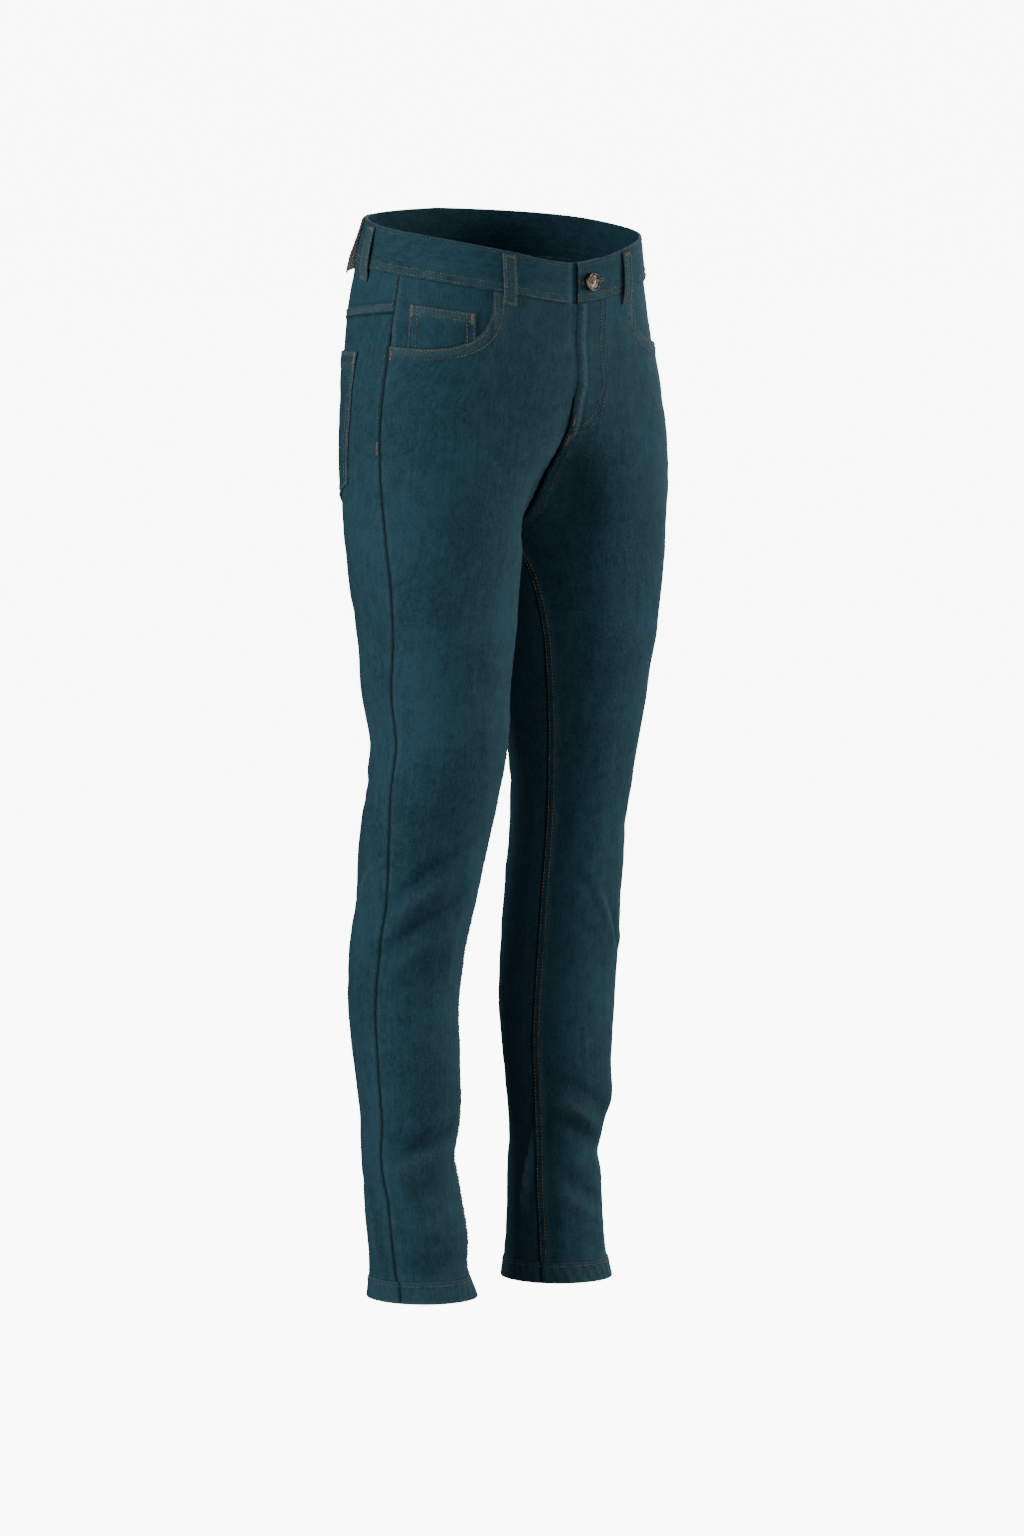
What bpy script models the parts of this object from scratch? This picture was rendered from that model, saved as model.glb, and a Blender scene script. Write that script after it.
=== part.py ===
"""Slim five-pocket jeans, in the hollow form that they have when worn.

Metres, +Z up. The front faces -Y and the wearer's left is +X. The origin is the centre of the
waist opening. Every piece is cut from one surface: a hip section that divides into two legs.
A place on it is a side, an angle round that side's leg axis and a level below the waist.
Angle 0 is the outer side, 90 the front, 180 the inseam and -90 the back.
"""

import math
from typing import NamedTuple

import bmesh
import bpy
import numpy as np
from mathutils import Vector

RIGHT = -1
LEFT = 1
SIDE_NAMES = {RIGHT: "right", LEFT: "left"}

DENIM_WALL = 0.0012
FOLDED_WALL = 0.0026
LOOP_WALL = 0.0016
PATCH_WALL = 0.0018
SEAM_GAP = 0.0003
BAND_HEIGHT = 0.041
BAND_PROUD = 0.0008
LEG_LENGTH = 1.020
HEM_HEIGHT = 0.020
LEG_EXPONENT = 2.1
HIP_EXPONENT = 2.2
HALF_WIDTH_SHARE = 0.49
HALF_DEPTH_SHARE = 0.515
SMALL_ANGLE = 0.5
SMALL_LEVEL = 0.0008
SHARP_DEGREES = 40.0
FAR_REACH = 0.45
HALVINGS = 36
LEVEL_SLACK = 1e-6


class LegSection(NamedTuple):
    """One level of both legs: axis place, mean diameters and where the two long seams run, in degrees."""

    level: float
    axis_x: float
    right_y: float
    right_width: float
    left_y: float
    left_width: float
    side_seam: float
    inseam: float


LEG_SECTIONS = (
    LegSection(0.000, 0.0800, 0.0000, 0.174, 0.0000, 0.174, 22.0, 180.0),
    LegSection(-0.110, 0.0800, 0.0000, 0.176, 0.0000, 0.176, 17.0, 180.0),
    LegSection(-0.200, 0.0830, 0.0000, 0.178, -0.0050, 0.179, 14.5, 180.0),
    LegSection(-0.290, 0.0855, -0.0010, 0.1690, -0.0070, 0.1700, 17.0, 180.0),
    LegSection(-0.330, 0.0870, -0.0024, 0.1605, -0.0100, 0.1590, 19.0, 168.0),
    LegSection(-0.380, 0.0885, -0.0070, 0.1492, -0.0090, 0.1478, 17.0, 160.0),
    LegSection(-0.440, 0.0910, -0.0094, 0.1386, -0.0010, 0.1370, 13.0, 155.0),
    LegSection(-0.490, 0.0925, -0.0155, 0.1290, 0.0050, 0.1270, 11.0, 153.0),
    LegSection(-0.530, 0.0945, -0.0090, 0.1270, 0.0110, 0.1180, 11.0, 153.0),
    LegSection(-0.580, 0.0945, 0.0040, 0.1225, 0.0155, 0.1110, 17.0, 153.0),
    LegSection(-0.630, 0.0940, 0.0148, 0.1145, 0.0208, 0.1118, 20.0, 153.0),
    LegSection(-0.690, 0.0935, 0.0310, 0.1092, 0.0260, 0.1122, 21.0, 153.0),
    LegSection(-0.740, 0.0930, 0.0372, 0.1045, 0.0295, 0.1115, 20.0, 154.0),
    LegSection(-0.800, 0.0922, 0.0325, 0.1003, 0.0282, 0.1043, 17.0, 158.0),
    LegSection(-0.850, 0.0916, 0.0285, 0.0945, 0.0257, 0.0975, 15.0, 158.0),
    LegSection(-0.885, 0.0910, 0.0331, 0.0891, 0.0298, 0.0885, 15.0, 156.0),
    LegSection(-0.930, 0.0906, 0.0258, 0.0925, 0.0305, 0.0913, 19.0, 153.0),
    LegSection(-0.965, 0.0904, 0.0198, 0.0950, 0.0295, 0.0930, 20.0, 151.0),
    LegSection(-0.995, 0.0902, 0.0188, 0.0925, 0.0285, 0.0975, 23.0, 149.0),
    LegSection(-1.020, 0.0900, 0.0130, 0.1035, 0.0265, 0.1055, 28.0, 147.0),
)


class HipSection(NamedTuple):
    """One level of the hips: half its width, and its depths to the front and back of the centre."""

    level: float
    half_width: float
    front: float
    back: float


HIP_SECTIONS = (
    HipSection(0.000, 0.142, 0.1045, 0.100),
    HipSection(-0.041, 0.149, 0.1045, 0.115),
    HipSection(-0.100, 0.161, 0.1030, 0.118),
    HipSection(-0.138, 0.167, 0.1080, 0.115),
    HipSection(-0.175, 0.171, 0.1130, 0.112),
    HipSection(-0.213, 0.174, 0.1190, 0.109),
    HipSection(-0.250, 0.176, 0.1210, 0.103),
    HipSection(-0.290, 0.174, 0.1160, 0.100),
)


class RimPoint(NamedTuple):
    """How high the waist edge stands at an angle round the hips: 90 is the centre front."""

    angle: float
    height: float


RIM = (
    RimPoint(-180.0, 0.0120),
    RimPoint(-90.0, 0.0160),
    RimPoint(-32.0, 0.0080),
    RimPoint(0.0, -0.0005),
    RimPoint(30.0, -0.0088),
    RimPoint(60.0, -0.0215),
    RimPoint(78.0, -0.0305),
    RimPoint(90.0, -0.0335),
    RimPoint(102.0, -0.0305),
    RimPoint(180.0, -0.0005),
)
RIM_FADES_OUT = 0.24

CROTCH_BLEND_TOP = -0.105
CROTCH_BLEND_BOTTOM = -0.293
CROTCH_SEARCH = 0.045
INSEAM_BLEND = 0.040
NEAR_MIDDLE_ANGLE = 80.0


class Fold(NamedTuple):
    """A soft trough or ridge: its middle, half its length, lean from level, height and half width."""

    side: int
    level: float
    angle: float
    reach: float
    lean: float
    height: float
    width: float


FOLDS = (
    Fold(RIGHT, -0.240, 138.0, 0.045, 90.0, -0.0110, 0.030),
    Fold(LEFT, -0.240, 138.0, 0.045, 90.0, -0.0110, 0.030),
    Fold(RIGHT, -0.518, -75.0, 0.050, -12.0, -0.0045, 0.009),
    Fold(RIGHT, -0.548, -62.0, 0.040, 14.0, -0.0028, 0.008),
    Fold(RIGHT, -0.492, -100.0, 0.045, 8.0, -0.0022, 0.009),
    Fold(RIGHT, -0.618, 58.0, 0.030, 32.0, -0.0014, 0.007),
    Fold(RIGHT, -0.659, 66.0, 0.040, 33.0, -0.0018, 0.008),
    Fold(RIGHT, -0.868, 92.0, 0.034, 22.0, -0.0022, 0.012),
    Fold(RIGHT, -0.952, -10.0, 0.045, -76.0, 0.0018, 0.009),
    Fold(RIGHT, -0.925, 30.0, 0.030, 40.0, -0.0016, 0.012),
    Fold(LEFT, -0.505, -80.0, 0.045, 10.0, -0.0035, 0.009),
    Fold(LEFT, -0.545, -95.0, 0.045, -10.0, -0.0040, 0.010),
    Fold(LEFT, -0.590, 60.0, 0.035, -30.0, -0.0014, 0.009),
    Fold(LEFT, -0.880, 106.0, 0.040, 27.0, 0.0014, 0.008),
    Fold(LEFT, -0.897, 52.0, 0.030, 12.0, -0.0030, 0.012),
    Fold(LEFT, -0.842, 45.0, 0.030, -10.0, 0.0020, 0.014),
    Fold(LEFT, -0.905, 165.0, 0.055, -80.0, 0.0020, 0.008),
)

POCKET_MOUTH_ANGLE = 86.0
POCKET_MOUTH_DROP = 0.067
POCKET_MOUTH_EXPONENT = 3.0
FLY_COLUMNS = (0.0, 0.08, 0.20, 0.36, 0.56, 0.78, 1.0)
MOUTH_COLUMNS = (0.025, 0.08, 0.18, 0.30, 0.43, 0.57, 0.71, 0.85, 1.0)
BACK_COLUMNS = 14
SETTLED_LEVEL = -0.165


class Station(NamedTuple):
    """A level that the panels' rows run down to, and how many rows it takes from the one above."""

    level: float
    rows: int


ABOVE_CROTCH = (Station(SETTLED_LEVEL, 4), Station(-0.225, 3))
BELOW_CROTCH = (Station(-0.330, 3), Station(-0.480, 5), Station(-0.700, 10))
CROTCH_ROWS = 5
CALF_ROWS = 11

LAID_GAP = 0.0005
FACING_FRONT_ANGLE = 96.0
FACING_BOTTOM = -0.140
FACING_FLUSH_ANGLE = 12.0
FACING_FLUSH_RISE = 0.006
FACING_FLUSH_EASE = 0.014

COIN_TOP = -0.066
COIN_BACK_ANGLE = 30.0
COIN_FRONT_ANGLE = 75.0

YOKE_AT_SIDE = -0.076
YOKE_AT_CENTRE = -0.112
YOKE_ROWS = 4

BACK_POCKET_TOP_SIDE = -0.118
BACK_POCKET_TOP_CENTRE = -0.126
BACK_POCKET_HEIGHT = 0.122
BACK_POCKET_POINT = 0.020
BACK_POCKET_SIDE_ANGLE = -12.0
BACK_POCKET_CENTRE_ANGLE = -102.0
BACK_POCKET_TAPER = 5.0

FLY_EDGE_X = 0.004
FLY_UNDERLAP_X = 0.012
FLY_END = -0.155
FLY_EASE = 0.020
LAP_END = -0.205
SHIELD_END = -0.138
LAP_LIFT = 0.0016
LAP_PLATEAU_X = 0.030
LAP_EASE_X = 0.025
SHIELD_FROM_X = -0.008
SHIELD_TO_X = 0.036
ZIP_FROM_X = 0.0145
ZIP_TO_X = 0.0270
ZIP_WALL = 0.0011
FLY_INSET = 0.004
BAND_UNDERLAP_X = 0.036
BAND_STEP_FROM_X = -0.010
BAND_STEP_TO_X = 0.002
BAND_COLUMNS = 27
BAND_ROWS = 4

LOOP_WIDTH = 0.012
LOOP_TOP = -0.002
LOOP_BOTTOM = -0.053
LOOP_BULGE = 0.0022
LOOP_BULGE_POWER = 0.7
LOOP_STEP_DROP = 0.006
LOOP_STEP_EASE = 0.004


class LoopPlace(NamedTuple):
    """A belt loop: its name, the side of the body and the angle of its middle."""

    name: str
    side: int
    angle: float


LOOPS = (
    LoopPlace("belt_loop_front_right", RIGHT, 95.0),
    LoopPlace("belt_loop_front_left", LEFT, 95.0),
    LoopPlace("belt_loop_side_right", RIGHT, -20.0),
    LoopPlace("belt_loop_side_left", LEFT, -20.0),
)

PATCH_FROM_ANGLE = -49.0
PATCH_TO_ANGLE = -81.0
PATCH_TOP = -0.001
PATCH_BOTTOM = -0.052
PATCH_STANDS_OFF = 0.004

BUTTON_X = 0.0192
BUTTON_LEVEL = -0.0205
BUTTON_RADIUS = 0.00875
BUTTON_THICKNESS = 0.0030
BUTTON_EDGE = 0.0008
BUTTON_DISH = 0.0005
ROUND_STEPS = 24
SHANK_RADIUS = 0.0036
SHANK_HEIGHT = 0.0016

TURN = 360.0
DENIM = ("denim", (0.030, 0.085, 0.105), 0.85, 0.0)
METAL = ("antique_brass", (0.30, 0.27, 0.22), 0.42, 1.0)
LEATHER = ("patch_leather", (0.085, 0.060, 0.048), 0.70, 0.0)


def column(rows, name):
    """One named column of a table, as an array."""
    return np.array([getattr(row, name) for row in rows], float)


def curve_at(keys, values, at):
    """A smooth curve through the table's points, with the slope at each point taken from its neighbours."""
    order = np.argsort(keys)
    keys = keys[order]
    values = values[order]
    slopes = np.gradient(values, keys)
    at = np.clip(at, keys[0], keys[-1])
    index = np.clip(np.searchsorted(keys, at, side="right") - 1, 0, len(keys) - 2)
    span = keys[index + 1] - keys[index]
    t = (at - keys[index]) / span
    start = (1 + 2 * t) * (1 - t) ** 2 * values[index] + t * (1 - t) ** 2 * span * slopes[index]
    end = t * t * (3 - 2 * t) * values[index + 1] + t * t * (t - 1) * span * slopes[index + 1]
    return start + end


def ease(t):
    """A soft step from 0 to 1."""
    t = np.clip(t, 0.0, 1.0)
    return t * t * (3 - 2 * t)


def leg_axis(side, level):
    """Distance of the leg axis from the middle plane, and its place front to back."""
    levels = column(LEG_SECTIONS, "level")
    axis_x = curve_at(levels, column(LEG_SECTIONS, "axis_x"), level)
    axis_y = curve_at(levels, column(LEG_SECTIONS, f"{SIDE_NAMES[side]}_y"), level)
    return axis_x, axis_y


def leg_radius(side, angle, level):
    """Distance from the axis to a leg's surface."""
    levels = column(LEG_SECTIONS, "level")
    width = curve_at(levels, column(LEG_SECTIONS, f"{SIDE_NAMES[side]}_width"), level)
    across = np.abs(np.cos(np.radians(angle))) / (HALF_WIDTH_SHARE * width)
    along = np.abs(np.sin(np.radians(angle))) / (HALF_DEPTH_SHARE * width)
    return (across**LEG_EXPONENT + along**LEG_EXPONENT) ** (-1 / LEG_EXPONENT)


def hip_depths(level):
    """Half width, front depth and back depth of the hips."""
    levels = column(HIP_SECTIONS, "level")
    return [curve_at(levels, column(HIP_SECTIONS, name), level) for name in ("half_width", "front", "back")]


def hip_radius(side, angle, level):
    """Distance from the leg axis to the hip surface, found by halving."""
    axis_x, axis_y = leg_axis(side, level)
    half_width, front, back = hip_depths(level)
    step_x = np.cos(np.radians(angle))
    step_y = -np.sin(np.radians(angle))
    near = np.zeros_like(step_x + axis_x)
    far = near + FAR_REACH
    for _ in range(HALVINGS):
        middle = (near + far) / 2
        x = axis_x + middle * step_x
        y = axis_y + middle * step_y
        depth = np.where(y < 0, front, back)
        inside = (np.abs(x) / half_width) ** HIP_EXPONENT + (np.abs(y) / depth) ** HIP_EXPONENT < 1
        near = np.where(inside, middle, near)
        far = np.where(inside, far, middle)
    return (near + far) / 2


def fold_height(side, angle, level, radius):
    """How far the folds push the cloth out or in."""
    total = np.zeros_like(radius)
    for fold in FOLDS:
        if fold.side != side:
            continue
        turn = (angle - fold.angle + TURN / 2) % TURN - TURN / 2
        around = np.radians(turn) * radius
        up = level - fold.level
        lean = math.radians(fold.lean)
        along = around * math.cos(lean) + up * math.sin(lean)
        across = up * math.cos(lean) - around * math.sin(lean)
        total = total + fold.height * np.exp(-((along / fold.reach) ** 2) - (across / fold.width) ** 2)
    return total


def surface(side, angle, level):
    """The cloth's outer face at an angle and a level, for arrays of both."""
    angle, level = np.broadcast_arrays(np.asarray(angle, float), np.asarray(level, float))
    axis_x, axis_y = leg_axis(side, level)
    hip = ease((level - CROTCH_BLEND_BOTTOM) / (CROTCH_BLEND_TOP - CROTCH_BLEND_BOTTOM))
    radius = leg_radius(side, angle, level) * (1 - hip) + hip_radius(side, angle, level) * hip
    radius = radius + fold_height(side, angle, level, radius)
    x = axis_x + radius * np.cos(np.radians(angle))
    y = axis_y - radius * np.sin(np.radians(angle))
    half_width, front, back = hip_depths(level)
    depth = np.where(y < 0, front, back)
    round_hips = np.degrees(np.arctan2(-y / depth, x / half_width))
    rim = curve_at(column(RIM, "angle"), column(RIM, "height"), round_hips)
    z = level + rim * ease(1 + level / RIM_FADES_OUT)
    return np.stack([side * x, y, z], axis=-1)


def outward(side, angle, level):
    """The direction straight out of the cloth."""
    angle, level = np.broadcast_arrays(np.asarray(angle, float), np.asarray(level, float))
    around = surface(side, angle + SMALL_ANGLE, level) - surface(side, angle - SMALL_ANGLE, level)
    up = surface(side, angle, level + SMALL_LEVEL) - surface(side, angle, level - SMALL_LEVEL)
    normal = np.cross(up, around) * side
    return normal / np.linalg.norm(normal, axis=-1, keepdims=True)


def raised(side, angle, level, height):
    """A point a given height above the cloth's outer face."""
    normal = outward(side, angle, level)
    return surface(side, angle, level) + normal * np.asarray(height, float)[..., None]


def angle_at_x(side, level, x, facing):
    """The angle at which a ring is a distance x from the middle plane, in front (1) or behind (-1)."""
    level = np.asarray(level, float)
    near = np.full(level.shape, NEAR_MIDDLE_ANGLE)
    far = np.full(level.shape, TURN / 2)
    for _ in range(HALVINGS):
        middle = (near + far) / 2
        beyond = surface(side, facing * middle, level)[..., 0] * side > x
        near = np.where(beyond, middle, near)
        far = np.where(beyond, far, middle)
    return facing * (near + far) / 2


def gap_angle(side, level, part=0.5):
    """A part of the seam gap, as an angle round the leg."""
    radius = leg_radius(side, 90.0, level)
    return np.degrees(part * SEAM_GAP / radius)


def side_seam_angle(level):
    """Where the side seam runs."""
    return curve_at(column(LEG_SECTIONS, "level"), column(LEG_SECTIONS, "side_seam"), level)


def crotch_level(side):
    """The level at which the ring of one side closes on itself at the middle plane."""
    low = CROTCH_BLEND_BOTTOM - CROTCH_SEARCH
    high = CROTCH_BLEND_BOTTOM + CROTCH_SEARCH
    for _ in range(HALVINGS):
        middle = (low + high) / 2
        if surface(side, TURN / 2, middle)[0] * side > SEAM_GAP / 2:
            low = middle
        else:
            high = middle
    return (low + high) / 2


def inner_edge_angle(side, level, facing, edge_x):
    """The panel edge by the rise above the crotch, and by the inseam below it."""
    crotch = crotch_level(side)
    gap = gap_angle(side, level)
    rise = np.abs(angle_at_x(side, level, edge_x, facing))
    rise = np.minimum(rise, TURN / 2 - gap)
    inseam = curve_at(column(LEG_SECTIONS, "level"), column(LEG_SECTIONS, "inseam"), level)
    below = np.clip((crotch - level) / INSEAM_BLEND, 0.0, 1.0)
    seam = TURN / 2 + (inseam - TURN / 2) * ease(below)
    leg = seam - gap if facing > 0 else TURN - seam - gap
    return facing * np.where(level >= crotch - LEVEL_SLACK, rise, leg)


def material_of(name, colour, roughness, metallic):
    """The named material, made when it is first asked for."""
    found = bpy.data.materials.get(name)
    if found:
        return found
    made = bpy.data.materials.new(name)
    made.use_nodes = True
    shader = made.node_tree.nodes["Principled BSDF"]
    shader.inputs["Base Color"].default_value = (*colour, 1.0)
    shader.inputs["Roughness"].default_value = roughness
    shader.inputs["Metallic"].default_value = metallic
    return made


def add_object(name, mesh, finish):
    """Links a mesh to the garment's collection with its own material."""
    obj = bpy.data.objects.new(name, mesh)
    garment.objects.link(obj)
    obj.data.materials.append(material_of(*finish))
    return obj


def cloth(name, outer, inner, finish=DENIM, closed=False):
    """A closed wall of cloth between two grids of points, its outer and its inner face."""
    rows, columns = outer.shape[:2]
    mesh = bpy.data.meshes.new(name)
    form = bmesh.new()
    skins = [[[form.verts.new(point) for point in line] for line in grid] for grid in (outer, inner)]
    steps = range(columns if closed else columns - 1)
    for skin in skins:
        for r in range(rows - 1):
            for c in steps:
                after = (c + 1) % columns
                form.faces.new((skin[r][c], skin[r][after], skin[r + 1][after], skin[r + 1][c]))
    for r in (0, rows - 1):
        for c in steps:
            after = (c + 1) % columns
            form.faces.new((skins[0][r][c], skins[0][r][after], skins[1][r][after], skins[1][r][c]))
    if not closed:
        for c in (0, columns - 1):
            for r in range(rows - 1):
                form.faces.new((skins[0][r][c], skins[0][r + 1][c], skins[1][r + 1][c], skins[1][r][c]))
    bmesh.ops.recalc_face_normals(form, faces=form.faces)
    form.to_mesh(mesh)
    form.free()
    mesh.shade_smooth()
    mesh.set_sharp_from_angle(angle=math.radians(SHARP_DEGREES))
    return add_object(name, mesh, finish)


def cloth_on(name, side, angle, level, height, thickness, finish=DENIM, closed=False, rise_edge=None):
    """A wall laid on the surface at a height. A rise edge keeps its inner points in their own half."""
    angle, level, height = np.broadcast_arrays(angle, level, height)
    outer = raised(side, angle, level, height)
    inner = raised(side, angle, level, height - thickness)
    if rise_edge is not None:
        on_rise = level[:, rise_edge] >= crotch_level(side) - LEVEL_SLACK
        inner[on_rise, rise_edge, 0] = outer[on_rise, rise_edge, 0]
    return cloth(name, outer, inner, finish, closed)


def panel_levels(side, top, bottom):
    """Row levels from a panel's top to its end, with one row exactly at the crotch."""
    crotch = crotch_level(side)
    stations = (*ABOVE_CROTCH, Station(crotch, CROTCH_ROWS), *BELOW_CROTCH, Station(bottom, CALF_ROWS))
    levels = [top]
    for station in stations:
        levels.extend(np.linspace(levels[-1], station.level, station.rows + 1)[1:])
    return np.array(levels)


def mouth_level(level_top, angle, seam):
    """The curved edge of the hand pocket, from the waist seam down to the side seam."""
    share = np.clip((angle - seam) / (POCKET_MOUTH_ANGLE - seam), 0.0, 1.0)
    return level_top - POCKET_MOUTH_DROP * (1 - share**POCKET_MOUTH_EXPONENT) ** (1 / POCKET_MOUTH_EXPONENT)


def lap_height(x, level):
    """How far the left front stands out where it laps over the fly."""
    along = ease(1 - (x - LAP_PLATEAU_X) / LAP_EASE_X)
    return LAP_LIFT * along * ease((level - LAP_END) / FLY_EASE)


def fly_edge_x(side, level):
    """Distance of a front's edge from the middle plane, with the laps above the end of the fly."""
    open_part = ease((level - FLY_END) / FLY_EASE)
    reach = FLY_EDGE_X if side == LEFT else -FLY_UNDERLAP_X
    return SEAM_GAP / 2 + (reach - SEAM_GAP / 2) * open_part


def front_panel(side):
    """A front, cut away at the hand pocket."""
    top = -BAND_HEIGHT - SEAM_GAP
    levels = panel_levels(side, top, -LEG_LENGTH + HEM_HEIGHT + SEAM_GAP)
    edge = inner_edge_angle(side, levels, 1, fly_edge_x(side, levels))
    seam = side_seam_angle(levels) + gap_angle(side, levels)
    mouth_share = (edge[0] - POCKET_MOUTH_ANGLE) / (edge[0] - seam[0])
    before_mouth = mouth_share * np.array(FLY_COLUMNS)
    shares = np.concatenate([before_mouth, mouth_share + (1 - mouth_share) * np.array(MOUTH_COLUMNS)])
    angle = edge[:, None] + (seam - edge)[:, None] * shares
    cut = mouth_level(top, angle[0], seam[0]) * (shares > mouth_share) + top * (shares <= mouth_share)
    settled = levels <= SETTLED_LEVEL
    row_share = np.where(settled, 1.0, (levels - top) / (SETTLED_LEVEL - top))[:, None]
    level = np.where(settled[:, None], levels[:, None], cut + (SETTLED_LEVEL - cut) * row_share)
    edge_again = inner_edge_angle(side, level, 1, fly_edge_x(side, level))
    seam_again = side_seam_angle(level) + gap_angle(side, level)
    angle = edge_again + (seam_again - edge_again) * shares
    lift = np.zeros_like(level)
    if side == LEFT:
        lift = lap_height(surface(side, angle, level)[..., 0], level)
    name = f"front_{SIDE_NAMES[side]}"
    return cloth_on(name, side, angle, level, lift, DENIM_WALL, rise_edge=0)


def yoke_level(share):
    """The yoke seam, from the centre back (0) to the side seam (1)."""
    return YOKE_AT_CENTRE + (YOKE_AT_SIDE - YOKE_AT_CENTRE) * share


def back_panel(side):
    """A back, from the yoke seam to the hem."""
    levels = panel_levels(side, YOKE_AT_SIDE, -LEG_LENGTH + HEM_HEIGHT + SEAM_GAP)
    shares = np.linspace(0, 1, BACK_COLUMNS)
    cut = yoke_level(shares) - SEAM_GAP
    settled = levels <= SETTLED_LEVEL
    row_share = np.where(settled, 1.0, (levels - levels[0]) / (SETTLED_LEVEL - levels[0]))[:, None]
    level = np.where(settled[:, None], levels[:, None], cut + (SETTLED_LEVEL - cut) * row_share)
    edge = inner_edge_angle(side, level, -1, np.full(level.shape, SEAM_GAP / 2))
    seam = side_seam_angle(level) - gap_angle(side, level)
    angle = edge + (seam - edge) * shares
    return cloth_on(f"back_{SIDE_NAMES[side]}", side, angle, level, 0.0, DENIM_WALL, rise_edge=0)


def yoke(side):
    """The shaped strip between the waist seam and the back."""
    shares = np.linspace(0, 1, BACK_COLUMNS)
    top = -BAND_HEIGHT - SEAM_GAP
    rows = np.linspace(0, 1, YOKE_ROWS)[:, None]
    level = top + (yoke_level(shares) - top) * rows
    edge = inner_edge_angle(side, level, -1, np.full(level.shape, SEAM_GAP / 2))
    seam = side_seam_angle(level) - gap_angle(side, level)
    angle = edge + (seam - edge) * shares
    return cloth_on(f"yoke_{SIDE_NAMES[side]}", side, angle, level, 0.0, DENIM_WALL, rise_edge=0)


def facing_height(angle, level):
    """The facing lies under the front, and comes up flush to the back at the side seam above the mouth."""
    seam = side_seam_angle(level)
    near_seam = ease(1 - (angle - seam) / FACING_FLUSH_ANGLE)
    above_mouth = ease((level + BAND_HEIGHT + POCKET_MOUTH_DROP - FACING_FLUSH_RISE) / FACING_FLUSH_EASE)
    return -(DENIM_WALL + LAID_GAP) * (1 - near_seam * above_mouth)


def pocket_facing(side):
    """The denim that shows inside the hand pocket."""
    rows = np.linspace(-BAND_HEIGHT - SEAM_GAP, FACING_BOTTOM, 9)[:, None]
    seam = side_seam_angle(rows) + gap_angle(side, rows)
    angle = seam + (FACING_FRONT_ANGLE - seam) * np.linspace(0, 1, 10)
    level = np.broadcast_to(rows, angle.shape)
    name = f"pocket_facing_{SIDE_NAMES[side]}"
    return cloth_on(name, side, angle, level, facing_height(angle, level), DENIM_WALL)


def coin_pocket():
    """The small pocket on the wearer's right facing, which runs down to the pocket mouth."""
    angle = np.linspace(COIN_FRONT_ANGLE, COIN_BACK_ANGLE, 8)
    bottom = mouth_level(-BAND_HEIGHT, angle, side_seam_angle(-0.10)) + 3 * SEAM_GAP
    level = COIN_TOP + (bottom - COIN_TOP) * np.linspace(0, 1, 5)[:, None]
    angle = np.broadcast_to(angle, level.shape)
    height = facing_height(angle, level) + SEAM_GAP + DENIM_WALL
    return cloth_on("coin_pocket", RIGHT, angle, level, height, DENIM_WALL)


def back_pocket(side):
    """A five-sided patch pocket on the back."""
    across = np.linspace(0, 1, 17)
    down = np.linspace(0, 1, 9)[:, None]
    top = BACK_POCKET_TOP_SIDE + (BACK_POCKET_TOP_CENTRE - BACK_POCKET_TOP_SIDE) * across
    bottom = top - BACK_POCKET_HEIGHT - BACK_POCKET_POINT * (1 - np.abs(2 * across - 1))
    level = top + (bottom - top) * down
    taper = BACK_POCKET_TAPER * down
    first = BACK_POCKET_SIDE_ANGLE - taper
    last = BACK_POCKET_CENTRE_ANGLE + taper
    angle = first + (last - first) * across
    name = f"back_pocket_{SIDE_NAMES[side]}"
    return cloth_on(name, side, angle, level, LAID_GAP + DENIM_WALL, DENIM_WALL)


def waistband_places(level):
    """Side, angle and height of each place along the band at one level, from over-end to under-end."""
    over_end = angle_at_x(LEFT, level, FLY_EDGE_X, 1)
    left_back = angle_at_x(LEFT, level, 0.0, -1)
    places = [(LEFT, angle, BAND_PROUD) for angle in np.linspace(over_end, left_back, BAND_COLUMNS)]
    step_from = angle_at_x(RIGHT, level, -BAND_STEP_FROM_X, 1)
    behind = angle_at_x(RIGHT, level, 0.0, -1)
    places += [(RIGHT, angle, BAND_PROUD) for angle in np.linspace(behind, step_from, BAND_COLUMNS)[1:]]
    stepping = np.linspace(BAND_STEP_FROM_X, BAND_STEP_TO_X, 5)[1:]
    lapped = np.linspace(BAND_STEP_TO_X, BAND_UNDERLAP_X, 6)[1:]
    for x in (*stepping, *lapped):
        sunk = ease((x - BAND_STEP_FROM_X) / (BAND_STEP_TO_X - BAND_STEP_FROM_X))
        places.append((LEFT, angle_at_x(LEFT, level, x, 1), BAND_PROUD - sunk * (FOLDED_WALL + LAID_GAP)))
    return places


def waistband():
    """One folded strip: from its lapping end at the left of the fly, round the back, to the end below."""
    levels = np.linspace(0, -BAND_HEIGHT, BAND_ROWS)
    rows = [waistband_places(level) for level in levels]
    skins = []
    for depth in (0.0, FOLDED_WALL):
        grid = [
            [raised(side, angle, level, height - depth) for side, angle, height in places]
            for level, places in zip(levels, rows)
        ]
        skins.append(np.array(grid))
    return cloth("waistband", *skins)


def hem(side):
    """The turned-up ring at the end of a leg."""
    levels = np.linspace(-LEG_LENGTH + HEM_HEIGHT, -LEG_LENGTH, 3)[:, None]
    angle = np.linspace(0, TURN, 25)[:-1]
    return cloth_on(f"hem_{SIDE_NAMES[side]}", side, angle, levels, BAND_PROUD, FOLDED_WALL, closed=True)


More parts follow.
